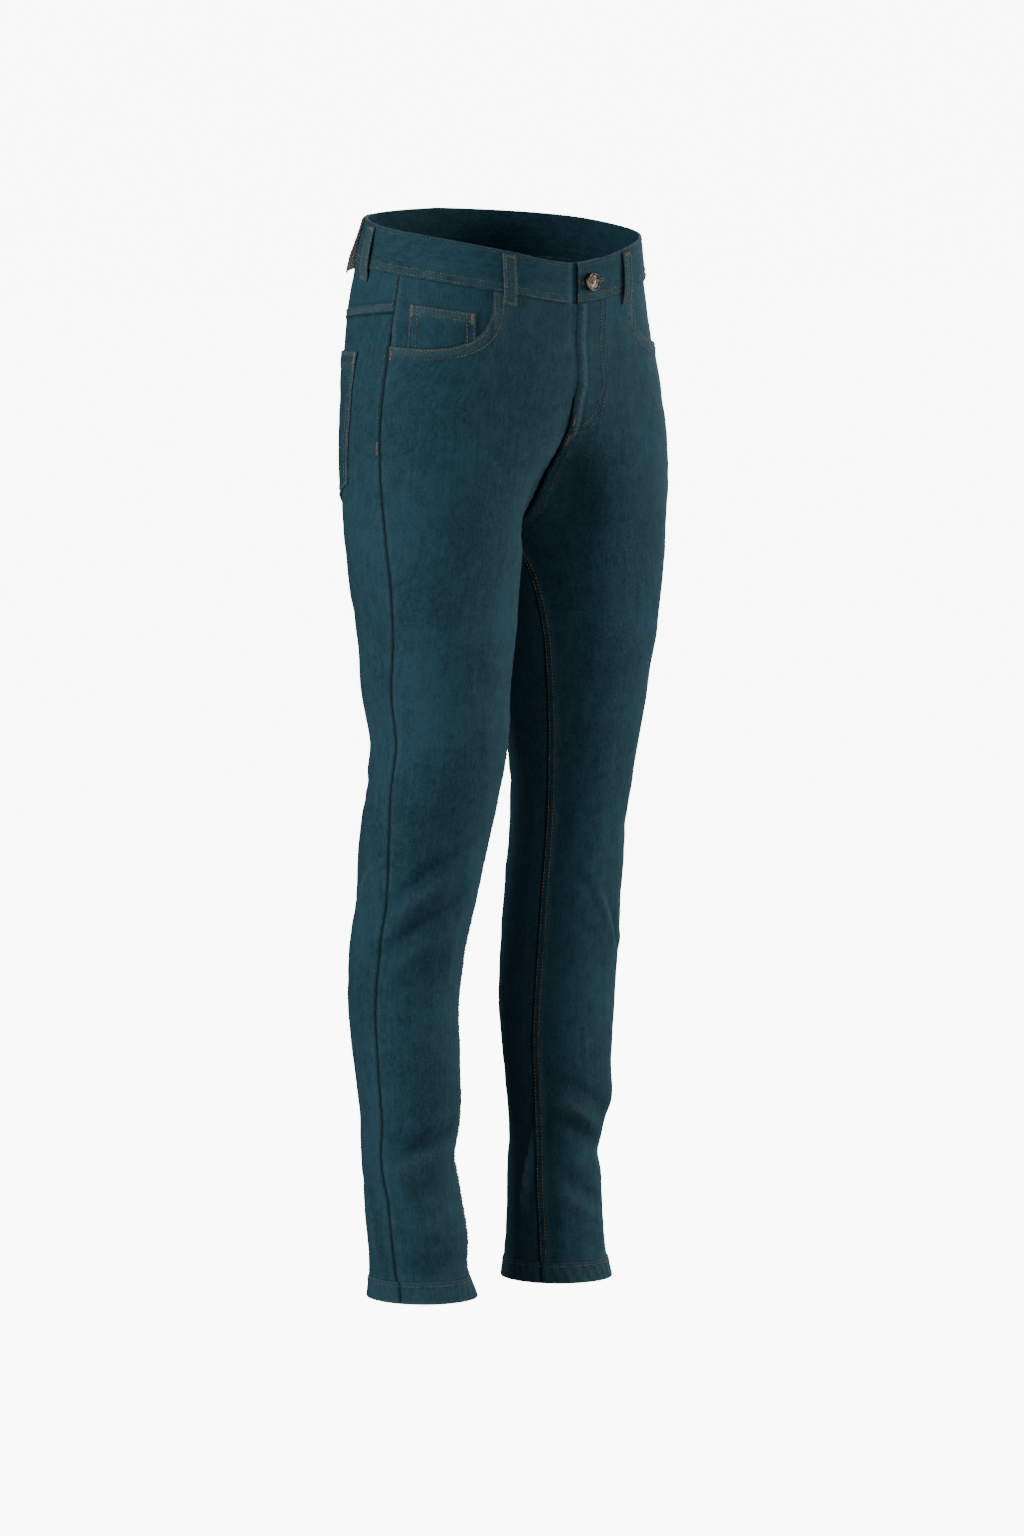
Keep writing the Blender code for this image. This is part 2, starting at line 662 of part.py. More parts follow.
def loop_height(level):
    """A belt loop's outer face: down on the band at its top, on the panel at its foot, clear between."""
    share = (LOOP_TOP - level) / (LOOP_TOP - LOOP_BOTTOM)
    over_band = BAND_PROUD * ease((level + BAND_HEIGHT + LOOP_STEP_DROP) / LOOP_STEP_EASE)
    bulge = LOOP_BULGE * np.sin(math.pi * np.clip(share, 0, 1)) ** LOOP_BULGE_POWER
    return SEAM_GAP + over_band + bulge + LOOP_WALL


def loop_levels():
    """Row levels of a belt loop."""
    return np.linspace(LOOP_TOP, LOOP_BOTTOM, 11)[:, None]


def belt_loop(place):
    """A belt loop on one side of the body."""
    level = loop_levels()
    axis_x, axis_y = leg_axis(place.side, LOOP_TOP)
    middle = surface(place.side, place.angle, LOOP_TOP)
    radius = math.hypot(middle[0] - place.side * axis_x, middle[1] - axis_y)
    half = math.degrees(LOOP_WIDTH / 2 / radius)
    angle = place.angle + np.linspace(half, -half, 3)
    return cloth_on(place.name, place.side, angle, level, loop_height(level), LOOP_WALL)


def belt_loop_back():
    """The belt loop over the centre back."""
    level = np.broadcast_to(loop_levels(), (11, 3))
    x = np.broadcast_to(np.linspace(LOOP_WIDTH / 2, -LOOP_WIDTH / 2, 3), level.shape)
    angle = angle_at_x(LEFT, level, x, -1)
    return cloth_on("belt_loop_back", LEFT, angle, level, loop_height(level), LOOP_WALL)


def blank_patch():
    """The blank leather patch over the band, whose lower edge stands away."""
    down = np.linspace(0, 1, 7)[:, None]
    level = PATCH_TOP + (PATCH_BOTTOM - PATCH_TOP) * down
    angle = np.linspace(PATCH_FROM_ANGLE, PATCH_TO_ANGLE, 6)
    height = BAND_PROUD + LAID_GAP + PATCH_WALL + PATCH_STANDS_OFF * ease(down)
    return cloth_on("blank_patch", RIGHT, angle, level, height, PATCH_WALL, LEATHER)


def fly_strip(name, from_x, to_x, top, bottom, height, wall):
    """A flat strip behind the fly, between two places across it, on the form of the right front."""
    level = np.linspace(top, bottom, 8)[:, None]
    x = np.linspace(from_x, to_x, 5)
    level, x = np.broadcast_arrays(level, x)
    angle = angle_at_x(RIGHT, level, -x, 1)
    return cloth_on(name, RIGHT, angle, level, height, wall)


def fly_pieces():
    """The shield behind the fly and the closed zip on it."""
    under_front = -DENIM_WALL - LAID_GAP
    top = -BAND_HEIGHT - FLY_INSET
    fly_strip("fly_shield", SHIELD_FROM_X, SHIELD_TO_X, top, SHIELD_END, under_front, DENIM_WALL)
    zip_face = under_front + SEAM_GAP + ZIP_WALL
    fly_strip("fly_zip", ZIP_FROM_X, ZIP_TO_X, top - FLY_INSET, SHIELD_END + FLY_INSET, zip_face, ZIP_WALL)


def turned(name, profile, place, axis, finish):
    """A round piece turned about its own axis, which then points along the given direction."""
    mesh = bpy.data.meshes.new(name)
    form = bmesh.new()
    points = [form.verts.new((radius, 0.0, height)) for radius, height in profile]
    for first, second in zip(points, points[1:]):
        form.edges.new((first, second))
    form.to_mesh(mesh)
    form.free()
    obj = add_object(name, mesh, finish)
    turn = obj.modifiers.new("turn", "SCREW")
    turn.steps = ROUND_STEPS
    turn.render_steps = ROUND_STEPS
    turn.use_merge_vertices = True
    turn.merge_threshold = 0.00001
    obj.location = place
    obj.rotation_mode = "QUATERNION"
    obj.rotation_quaternion = axis.to_track_quat("Z", "Y")
    return obj


def button():
    """The shank button on the band: a domed cap with a rolled edge on a short stem."""
    angle = angle_at_x(LEFT, np.float64(BUTTON_LEVEL), BUTTON_X, 1)
    base = raised(LEFT, angle, BUTTON_LEVEL, np.float64(BAND_PROUD + SEAM_GAP))
    axis = Vector(outward(LEFT, angle, BUTTON_LEVEL))
    place = Vector(base)
    stem = [(0.0, SHANK_HEIGHT), (SHANK_RADIUS, SHANK_HEIGHT), (SHANK_RADIUS, 0.0), (0.0, 0.0)]
    turned("button_shank", stem, place, axis, METAL)
    cap_height = SHANK_HEIGHT + SEAM_GAP
    rim = BUTTON_RADIUS - BUTTON_EDGE
    cap = [
        (0.0, BUTTON_THICKNESS - BUTTON_DISH),
        (rim - 2 * BUTTON_EDGE, BUTTON_THICKNESS - BUTTON_DISH),
        (rim - BUTTON_EDGE, BUTTON_THICKNESS),
        (rim, BUTTON_THICKNESS),
        (BUTTON_RADIUS, BUTTON_THICKNESS - BUTTON_EDGE),
        (BUTTON_RADIUS, BUTTON_EDGE),
        (rim, 0.0),
        (0.0, 0.0),
    ]
    turned("button_cap", cap, place + axis * cap_height, axis, METAL)


for old in list(bpy.data.objects):
    bpy.data.objects.remove(old)
garment = bpy.data.collections.new("slim_jeans")
bpy.context.scene.collection.children.link(garment)

for body_side in (RIGHT, LEFT):
    front_panel(body_side)
    back_panel(body_side)
    yoke(body_side)
    pocket_facing(body_side)
    back_pocket(body_side)
    hem(body_side)
coin_pocket()
waistband()
for loop_place in LOOPS:
    belt_loop(loop_place)
belt_loop_back()
blank_patch()
fly_pieces()
button()
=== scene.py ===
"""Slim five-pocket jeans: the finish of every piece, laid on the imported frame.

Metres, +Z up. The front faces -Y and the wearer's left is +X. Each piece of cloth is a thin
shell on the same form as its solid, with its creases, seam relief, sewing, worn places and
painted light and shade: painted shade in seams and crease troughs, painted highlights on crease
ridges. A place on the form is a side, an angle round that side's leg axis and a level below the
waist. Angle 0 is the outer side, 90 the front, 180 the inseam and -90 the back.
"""

import logging
import math
from dataclasses import dataclass, field
from enum import Enum
from typing import Callable, NamedTuple, Sequence

import bmesh
import bpy
import numpy as np
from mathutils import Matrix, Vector


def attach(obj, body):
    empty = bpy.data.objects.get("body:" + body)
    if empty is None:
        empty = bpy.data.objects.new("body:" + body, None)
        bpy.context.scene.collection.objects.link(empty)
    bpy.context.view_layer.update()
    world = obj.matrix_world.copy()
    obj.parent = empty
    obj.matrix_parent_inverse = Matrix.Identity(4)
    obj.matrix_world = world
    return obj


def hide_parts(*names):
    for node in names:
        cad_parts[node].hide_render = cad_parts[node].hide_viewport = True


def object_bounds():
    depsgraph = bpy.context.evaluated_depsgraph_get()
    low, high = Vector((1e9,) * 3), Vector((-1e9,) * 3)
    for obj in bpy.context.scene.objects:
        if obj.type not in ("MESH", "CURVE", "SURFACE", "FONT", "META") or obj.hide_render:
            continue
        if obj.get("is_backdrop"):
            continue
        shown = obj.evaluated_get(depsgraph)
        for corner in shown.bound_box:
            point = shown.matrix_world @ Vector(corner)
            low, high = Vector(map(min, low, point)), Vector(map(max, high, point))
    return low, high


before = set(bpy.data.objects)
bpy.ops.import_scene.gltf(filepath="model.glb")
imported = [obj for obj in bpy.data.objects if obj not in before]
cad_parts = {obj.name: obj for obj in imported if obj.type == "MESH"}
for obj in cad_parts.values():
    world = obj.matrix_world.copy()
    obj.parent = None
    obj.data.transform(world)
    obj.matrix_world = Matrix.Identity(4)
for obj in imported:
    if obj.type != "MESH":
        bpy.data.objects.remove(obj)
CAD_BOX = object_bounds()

LOG = logging.getLogger("slim_jeans")
Array = np.ndarray

DENIM_WALL = 0.0012
FOLDED_WALL = 0.0026
LOOP_WALL = 0.0016
PATCH_WALL = 0.0018
SEAM_GAP = 0.0003
LAID_GAP = 0.0005
BAND_HEIGHT = 0.041
BAND_PROUD = 0.0008
LEG_LENGTH = 1.020
HEM_HEIGHT = 0.020
LEG_EXPONENT = 2.1
HIP_EXPONENT = 2.2
HALF_WIDTH_SHARE = 0.49
HALF_DEPTH_SHARE = 0.515
RIM_FADES_OUT = 0.24
CROTCH_BLEND_TOP = -0.105
CROTCH_BLEND_BOTTOM = -0.293
CROTCH_SEARCH = 0.045
INSEAM_BLEND = 0.040
SETTLED_LEVEL = -0.165
TURN = 360.0
HALVINGS = 30
SHARP_DEGREES = 42.0
PANEL_COLUMNS = 46
WAIST_SEAM = -BAND_HEIGHT - SEAM_GAP
HEM_SEAM = -LEG_LENGTH + HEM_HEIGHT + SEAM_GAP

POCKET_MOUTH_ANGLE = 86.0
POCKET_MOUTH_DROP = 0.067
POCKET_MOUTH_EXPONENT = 3.0
YOKE_AT_SIDE = -0.076
YOKE_AT_CENTRE = -0.112
FLY_EDGE_X = 0.004
FLY_UNDERLAP_X = 0.012
FLY_END = -0.155
FLY_EASE = 0.020
LAP_END = -0.205
LAP_LIFT = 0.0016
LAP_PLATEAU_X = 0.030
LAP_EASE_X = 0.025
UNDER_FRONT = -DENIM_WALL - LAID_GAP


class Side(Enum):
    """The wearer's right or left side. The value is the sign of X there."""

    RIGHT = -1
    LEFT = 1

    @property
    def word(self) -> str:
        """The side's name in lower case, as node names have it."""
        return self.name.lower()


class Facing(Enum):
    """The front or the back of the garment. The value is the sign of its angles."""

    FRONT = 1
    BACK = -1


class LegSection(NamedTuple):
    """One level of both legs: axis place, mean diameters and where the long seams run, in degrees."""

    level: float
    axis_x: float
    right_y: float
    right_width: float
    left_y: float
    left_width: float
    side_seam: float
    inseam: float


LEG_SECTIONS = (
    LegSection(0.000, 0.0800, 0.0000, 0.174, 0.0000, 0.174, 22.0, 180.0),
    LegSection(-0.110, 0.0800, 0.0000, 0.176, 0.0000, 0.176, 17.0, 180.0),
    LegSection(-0.200, 0.0830, 0.0000, 0.178, -0.0050, 0.179, 14.5, 180.0),
    LegSection(-0.290, 0.0855, -0.0010, 0.1690, -0.0070, 0.1700, 17.0, 180.0),
    LegSection(-0.330, 0.0870, -0.0024, 0.1605, -0.0100, 0.1590, 19.0, 168.0),
    LegSection(-0.380, 0.0885, -0.0070, 0.1492, -0.0090, 0.1478, 17.0, 160.0),
    LegSection(-0.440, 0.0910, -0.0094, 0.1386, -0.0010, 0.1370, 13.0, 155.0),
    LegSection(-0.490, 0.0925, -0.0155, 0.1290, 0.0050, 0.1270, 11.0, 153.0),
    LegSection(-0.530, 0.0945, -0.0090, 0.1270, 0.0110, 0.1180, 11.0, 153.0),
    LegSection(-0.580, 0.0945, 0.0040, 0.1225, 0.0155, 0.1110, 17.0, 153.0),
    LegSection(-0.630, 0.0940, 0.0148, 0.1145, 0.0208, 0.1118, 20.0, 153.0),
    LegSection(-0.690, 0.0935, 0.0310, 0.1092, 0.0260, 0.1122, 21.0, 153.0),
    LegSection(-0.740, 0.0930, 0.0372, 0.1045, 0.0295, 0.1115, 20.0, 154.0),
    LegSection(-0.800, 0.0922, 0.0325, 0.1003, 0.0282, 0.1043, 17.0, 158.0),
    LegSection(-0.850, 0.0916, 0.0285, 0.0945, 0.0257, 0.0975, 15.0, 158.0),
    LegSection(-0.885, 0.0910, 0.0331, 0.0891, 0.0298, 0.0885, 15.0, 156.0),
    LegSection(-0.930, 0.0906, 0.0258, 0.0925, 0.0305, 0.0913, 19.0, 153.0),
    LegSection(-0.965, 0.0904, 0.0198, 0.0950, 0.0295, 0.0930, 20.0, 151.0),
    LegSection(-0.995, 0.0902, 0.0188, 0.0925, 0.0285, 0.0975, 23.0, 149.0),
    LegSection(-1.020, 0.0900, 0.0130, 0.1035, 0.0265, 0.1055, 28.0, 147.0),
)


class HipSection(NamedTuple):
    """One level of the hips: half its width, and its depths to the front and back of the centre."""

    level: float
    half_width: float
    front: float
    back: float


HIP_SECTIONS = (
    HipSection(0.000, 0.142, 0.1045, 0.100),
    HipSection(-0.041, 0.149, 0.1045, 0.115),
    HipSection(-0.100, 0.161, 0.1030, 0.118),
    HipSection(-0.138, 0.167, 0.1080, 0.115),
    HipSection(-0.175, 0.171, 0.1130, 0.112),
    HipSection(-0.213, 0.174, 0.1190, 0.109),
    HipSection(-0.250, 0.176, 0.1210, 0.103),
    HipSection(-0.290, 0.174, 0.1160, 0.100),
)


class RimPoint(NamedTuple):
    """How high the waist edge stands at an angle round the hips: 90 is the centre front."""

    angle: float
    height: float


RIM = (
    RimPoint(-180.0, 0.0120),
    RimPoint(-90.0, 0.0160),
    RimPoint(-32.0, 0.0080),
    RimPoint(0.0, -0.0005),
    RimPoint(30.0, -0.0088),
    RimPoint(60.0, -0.0215),
    RimPoint(78.0, -0.0305),
    RimPoint(90.0, -0.0335),
    RimPoint(102.0, -0.0305),
    RimPoint(180.0, -0.0005),
)


class Crease(NamedTuple):
    """A soft trough or ridge: its middle, half its length, lean, height, half width and bow."""

    side: Side
    level: float
    angle: float
    reach: float
    lean: float
    height: float
    width: float
    bow: float = 0.0


FOLDS = (
    Crease(Side.RIGHT, -0.240, 138.0, 0.045, 90.0, -0.0110, 0.030),
    Crease(Side.LEFT, -0.240, 138.0, 0.045, 90.0, -0.0110, 0.030),
    Crease(Side.RIGHT, -0.518, -75.0, 0.050, -12.0, -0.0045, 0.009),
    Crease(Side.RIGHT, -0.548, -62.0, 0.040, 14.0, -0.0028, 0.008),
    Crease(Side.RIGHT, -0.492, -100.0, 0.045, 8.0, -0.0022, 0.009),
    Crease(Side.RIGHT, -0.618, 58.0, 0.030, 32.0, -0.0014, 0.007),
    Crease(Side.RIGHT, -0.659, 66.0, 0.040, 33.0, -0.0018, 0.008),
    Crease(Side.RIGHT, -0.868, 92.0, 0.034, 22.0, -0.0022, 0.012),
    Crease(Side.RIGHT, -0.952, -10.0, 0.045, -76.0, 0.0018, 0.009),
    Crease(Side.RIGHT, -0.925, 30.0, 0.030, 40.0, -0.0016, 0.012),
    Crease(Side.LEFT, -0.505, -80.0, 0.045, 10.0, -0.0035, 0.009),
    Crease(Side.LEFT, -0.545, -95.0, 0.045, -10.0, -0.0040, 0.010),
    Crease(Side.LEFT, -0.590, 60.0, 0.035, -30.0, -0.0014, 0.009),
    Crease(Side.LEFT, -0.880, 106.0, 0.040, 27.0, 0.0014, 0.008),
    Crease(Side.LEFT, -0.897, 52.0, 0.030, 12.0, -0.0030, 0.012),
    Crease(Side.LEFT, -0.842, 45.0, 0.030, -10.0, 0.0020, 0.014),
    Crease(Side.LEFT, -0.905, 165.0, 0.055, -80.0, 0.0020, 0.008),
)

FINE_CREASES = (
    Crease(Side.RIGHT, -0.232, 112.0, 0.040, -32.0, -0.0009, 0.0060, 2.0),
    Crease(Side.RIGHT, -0.258, 124.0, 0.034, -24.0, -0.0011, 0.0055, 3.0),
    Crease(Side.RIGHT, -0.204, 104.0, 0.030, -38.0, -0.0006, 0.0060, 1.0),
    Crease(Side.LEFT, -0.228, 114.0, 0.038, -30.0, -0.0008, 0.0060, 2.0),
    Crease(Side.LEFT, -0.262, 126.0, 0.036, -20.0, -0.0012, 0.0060, 3.0),
    Crease(Side.LEFT, -0.200, 102.0, 0.028, -40.0, -0.0005, 0.0065, -1.0),
    Crease(Side.RIGHT, -0.304, -118.0, 0.050, 14.0, -0.0020, 0.0080, -3.0),
    Crease(Side.RIGHT, -0.328, -92.0, 0.048, -6.0, -0.0012, 0.0070, 2.0),
    Crease(Side.LEFT, -0.300, -114.0, 0.052, 12.0, -0.0018, 0.0085, -3.0),
    Crease(Side.LEFT, -0.332, -96.0, 0.044, -9.0, -0.0013, 0.0070, 2.0),
    Crease(Side.RIGHT, -0.300, 150.0, 0.030, -16.0, -0.0013, 0.0060, 0.0),
    Crease(Side.LEFT, -0.306, 148.0, 0.032, -14.0, -0.0012, 0.0060, 0.0),
    Crease(Side.RIGHT, -0.536, 76.0, 0.030, 5.0, -0.0005, 0.0060, 2.0),
    Crease(Side.RIGHT, -0.574, 92.0, 0.026, -8.0, -0.0006, 0.0055, 0.0),
    Crease(Side.RIGHT, -0.607, 56.0, 0.038, 42.0, -0.0026, 0.0060, 1.5),
    Crease(Side.RIGHT, -0.628, 60.0, 0.038, 40.0, 0.0022, 0.0062, 1.5),
    Crease(Side.RIGHT, -0.652, 64.0, 0.046, 38.0, -0.0030, 0.0064, 1.5),
    Crease(Side.RIGHT, -0.677, 70.0, 0.040, 37.0, 0.0017, 0.0070, 1.5),
    Crease(Side.RIGHT, -0.700, 78.0, 0.030, 36.0, -0.0010, 0.0065, -2.0),
    Crease(Side.RIGHT, -0.560, 44.0, 0.026, 22.0, -0.0008, 0.0060, 1.0),
    Crease(Side.RIGHT, -0.697, 128.0, 0.018, 26.0, -0.0014, 0.0045, 0.0),
    Crease(Side.LEFT, -0.566, 96.0, 0.028, 9.0, -0.0006, 0.0060, 2.0),
    Crease(Side.LEFT, -0.664, 80.0, 0.030, 60.0, 0.0030, 0.0054, 0.0),
    Crease(Side.LEFT, -0.674, 66.0, 0.028, 56.0, -0.0030, 0.0060, 0.0),
    Crease(Side.LEFT, -0.686, 50.0, 0.016, 40.0, 0.0018, 0.0060, 0.0),
    Crease(Side.LEFT, -0.630, 112.0, 0.024, 48.0, -0.0009, 0.0060, 0.0),
    Crease(Side.LEFT, -0.676, 104.0, 0.028, 40.0, -0.0010, 0.0065, 1.0),
    Crease(Side.RIGHT, -0.572, -104.0, 0.034, 10.0, -0.0014, 0.0060, 3.0),
    Crease(Side.LEFT, -0.578, -86.0, 0.036, -8.0, -0.0013, 0.0060, -3.0),
    Crease(Side.LEFT, -0.526, -120.0, 0.026, 18.0, -0.0011, 0.0050, 0.0),
    Crease(Side.RIGHT, -0.622, -16.0, 0.030, 62.0, 0.0030, 0.0046, 0.0),
    Crease(Side.RIGHT, -0.626, -34.0, 0.030, 58.0, -0.0024, 0.0060, 0.0),
    Crease(Side.RIGHT, -0.708, -72.0, 0.030, -18.0, -0.0008, 0.0070, 0.0),
    Crease(Side.LEFT, -0.716, -78.0, 0.030, 15.0, -0.0008, 0.0070, 0.0),
    Crease(Side.RIGHT, -0.846, 84.0, 0.028, 24.0, 0.0012, 0.0065, 2.0),
    Crease(Side.RIGHT, -0.862, 88.0, 0.036, 26.0, -0.0030, 0.0075, 2.0),
    Crease(Side.RIGHT, -0.882, 74.0, 0.036, 20.0, 0.0028, 0.0085, 1.0),
    Crease(Side.RIGHT, -0.914, 70.0, 0.026, 36.0, -0.0040, 0.0095, 0.0),
    Crease(Side.RIGHT, -0.938, 86.0, 0.028, 30.0, 0.0016, 0.0075, 0.0),
    Crease(Side.RIGHT, -0.950, -12.0, 0.050, -78.0, 0.0024, 0.0034, 0.0),
    Crease(Side.RIGHT, -0.948, 0.0, 0.046, -78.0, -0.0016, 0.0046, 0.0),
    Crease(Side.RIGHT, -0.893, 116.0, 0.030, 12.0, -0.0013, 0.0065, -2.0),
    Crease(Side.RIGHT, -0.914, -60.0, 0.036, 14.0, -0.0014, 0.0070, 2.0),
    Crease(Side.RIGHT, -0.962, 62.0, 0.024, -14.0, -0.0009, 0.0060, 2.0),
    Crease(Side.RIGHT, -0.973, -96.0, 0.034, -10.0, -0.0012, 0.0060, -2.0),
    Crease(Side.LEFT, -0.836, 100.0, 0.036, 31.0, -0.0024, 0.0070, 1.0),
    Crease(Side.LEFT, -0.856, 104.0, 0.036, 31.0, 0.0032, 0.0062, 1.0),
    Crease(Side.LEFT, -0.878, 96.0, 0.036, 30.0, -0.0030, 0.0078, 1.0),
    Crease(Side.LEFT, -0.930, 96.0, 0.030, 34.0, -0.0024, 0.0070, 0.0),
    Crease(Side.LEFT, -0.946, 104.0, 0.028, 30.0, 0.0022, 0.0068, 0.0),
    Crease(Side.LEFT, -0.906, 166.0, 0.060, -80.0, 0.0030, 0.0034, 0.0),
    Crease(Side.LEFT, -0.904, 153.0, 0.050, -80.0, -0.0014, 0.0050, 0.0),
    Crease(Side.LEFT, -0.918, 98.0, 0.032, 20.0, -0.0011, 0.0060, -2.0),
    Crease(Side.LEFT, -0.936, -70.0, 0.036, -16.0, -0.0013, 0.0070, 2.0),
    Crease(Side.LEFT, -0.968, 70.0, 0.026, 12.0, -0.0009, 0.0060, 2.0),
    Crease(Side.LEFT, -0.978, -110.0, 0.030, 12.0, -0.0010, 0.0060, -2.0),
)


def column(rows: Sequence[NamedTuple], name: str) -> Array:
    """One named column of a table, as an array."""
    return np.array([getattr(row, name) for row in rows], float)


def curve_at(keys: Array, values: Array, at: Array) -> Array:
    """Reads a smooth curve through a table's points.

    Args:
        keys: The places of the points, in any order.
        values: The values there.
        at: Where to read.

    Returns:
        The curve's values, with each point's slope taken from its neighbours.
    """
    order = np.argsort(keys)
    keys = keys[order]
    values = values[order]
    slopes = np.gradient(values, keys)
    at = np.clip(at, keys[0], keys[-1])
    index = np.clip(np.searchsorted(keys, at, side="right") - 1, 0, len(keys) - 2)
    span = keys[index + 1] - keys[index]
    t = (at - keys[index]) / span
    start = (1 + 2 * t) * (1 - t) ** 2 * values[index] + t * (1 - t) ** 2 * span * slopes[index]
    end = t * t * (3 - 2 * t) * values[index + 1] + t * t * (t - 1) * span * slopes[index + 1]
    return start + end


def ease(t: Array) -> Array:
    """A soft step from 0 to 1."""
    t = np.clip(t, 0.0, 1.0)
    return t * t * (3 - 2 * t)


def hill(distance: Array, width: float) -> Array:
    """A soft hill of height 1 over distance 0."""
    return np.exp(-((distance / width) ** 2))


def edged_shares(count: int, edge: float) -> Array:
    """Shares from 0 to 1 with extra ones close to both ends.

    Args:
        count: How many even steps there are between the edges.
        edge: The share that each rounded edge takes.

    Returns:
        The shares in rising order.
    """
    near = edge * np.array([0.0, 0.12, 0.35, 0.7])
    return np.concatenate([near, np.linspace(edge, 1 - edge, count), 1 - near[::-1]])


def edge_drop(share: Array, total: float, radius: float) -> Array:
    """How far a rounded edge falls away.

    Args:
        share: Places across the piece, from 0 to 1.
        total: The piece's size across, in metres.
        radius: The edge's radius.

    Returns:
        The drop at each place, 0 away from the edges.
    """
    inside = np.clip(np.minimum(share, 1 - share) * total, 0.0, radius)
    return radius - np.sqrt(radius**2 - (radius - inside) ** 2)


@dataclass(frozen=True)
class Undulation:
    """Soft unevenness in cloth: plane waves in fixed directions, the same in each run."""

    wavelength: float
    amplitude: float
    seed: int
    waves: int = 18

    def at(self, across: Array, down: Array) -> Array:
        """The height at places given in metres across and down the cloth."""
        rng = np.random.default_rng(self.seed)
        total = np.zeros(np.broadcast(across, down).shape)
        for _ in range(self.waves):
            length = self.wavelength * rng.uniform(0.7, 1.5)
            heading = rng.uniform(0, math.pi)
            phase = rng.uniform(0, 2 * math.pi)
            run = across * math.cos(heading) + down * math.sin(heading)
            total = total + np.cos(2 * math.pi * run / length + phase)
        return self.amplitude * total * math.sqrt(2 / self.waves)


class EdgeKind(Enum):
    """Where a panel's inner edge runs above the crotch."""

    LAP = "lap"
    UNDERLAP = "underlap"
    PLAIN = "plain"


class Row(NamedTuple):
    """A line of sewing: its points and the directions straight out of the cloth there."""

    points: Array
    outs: Array


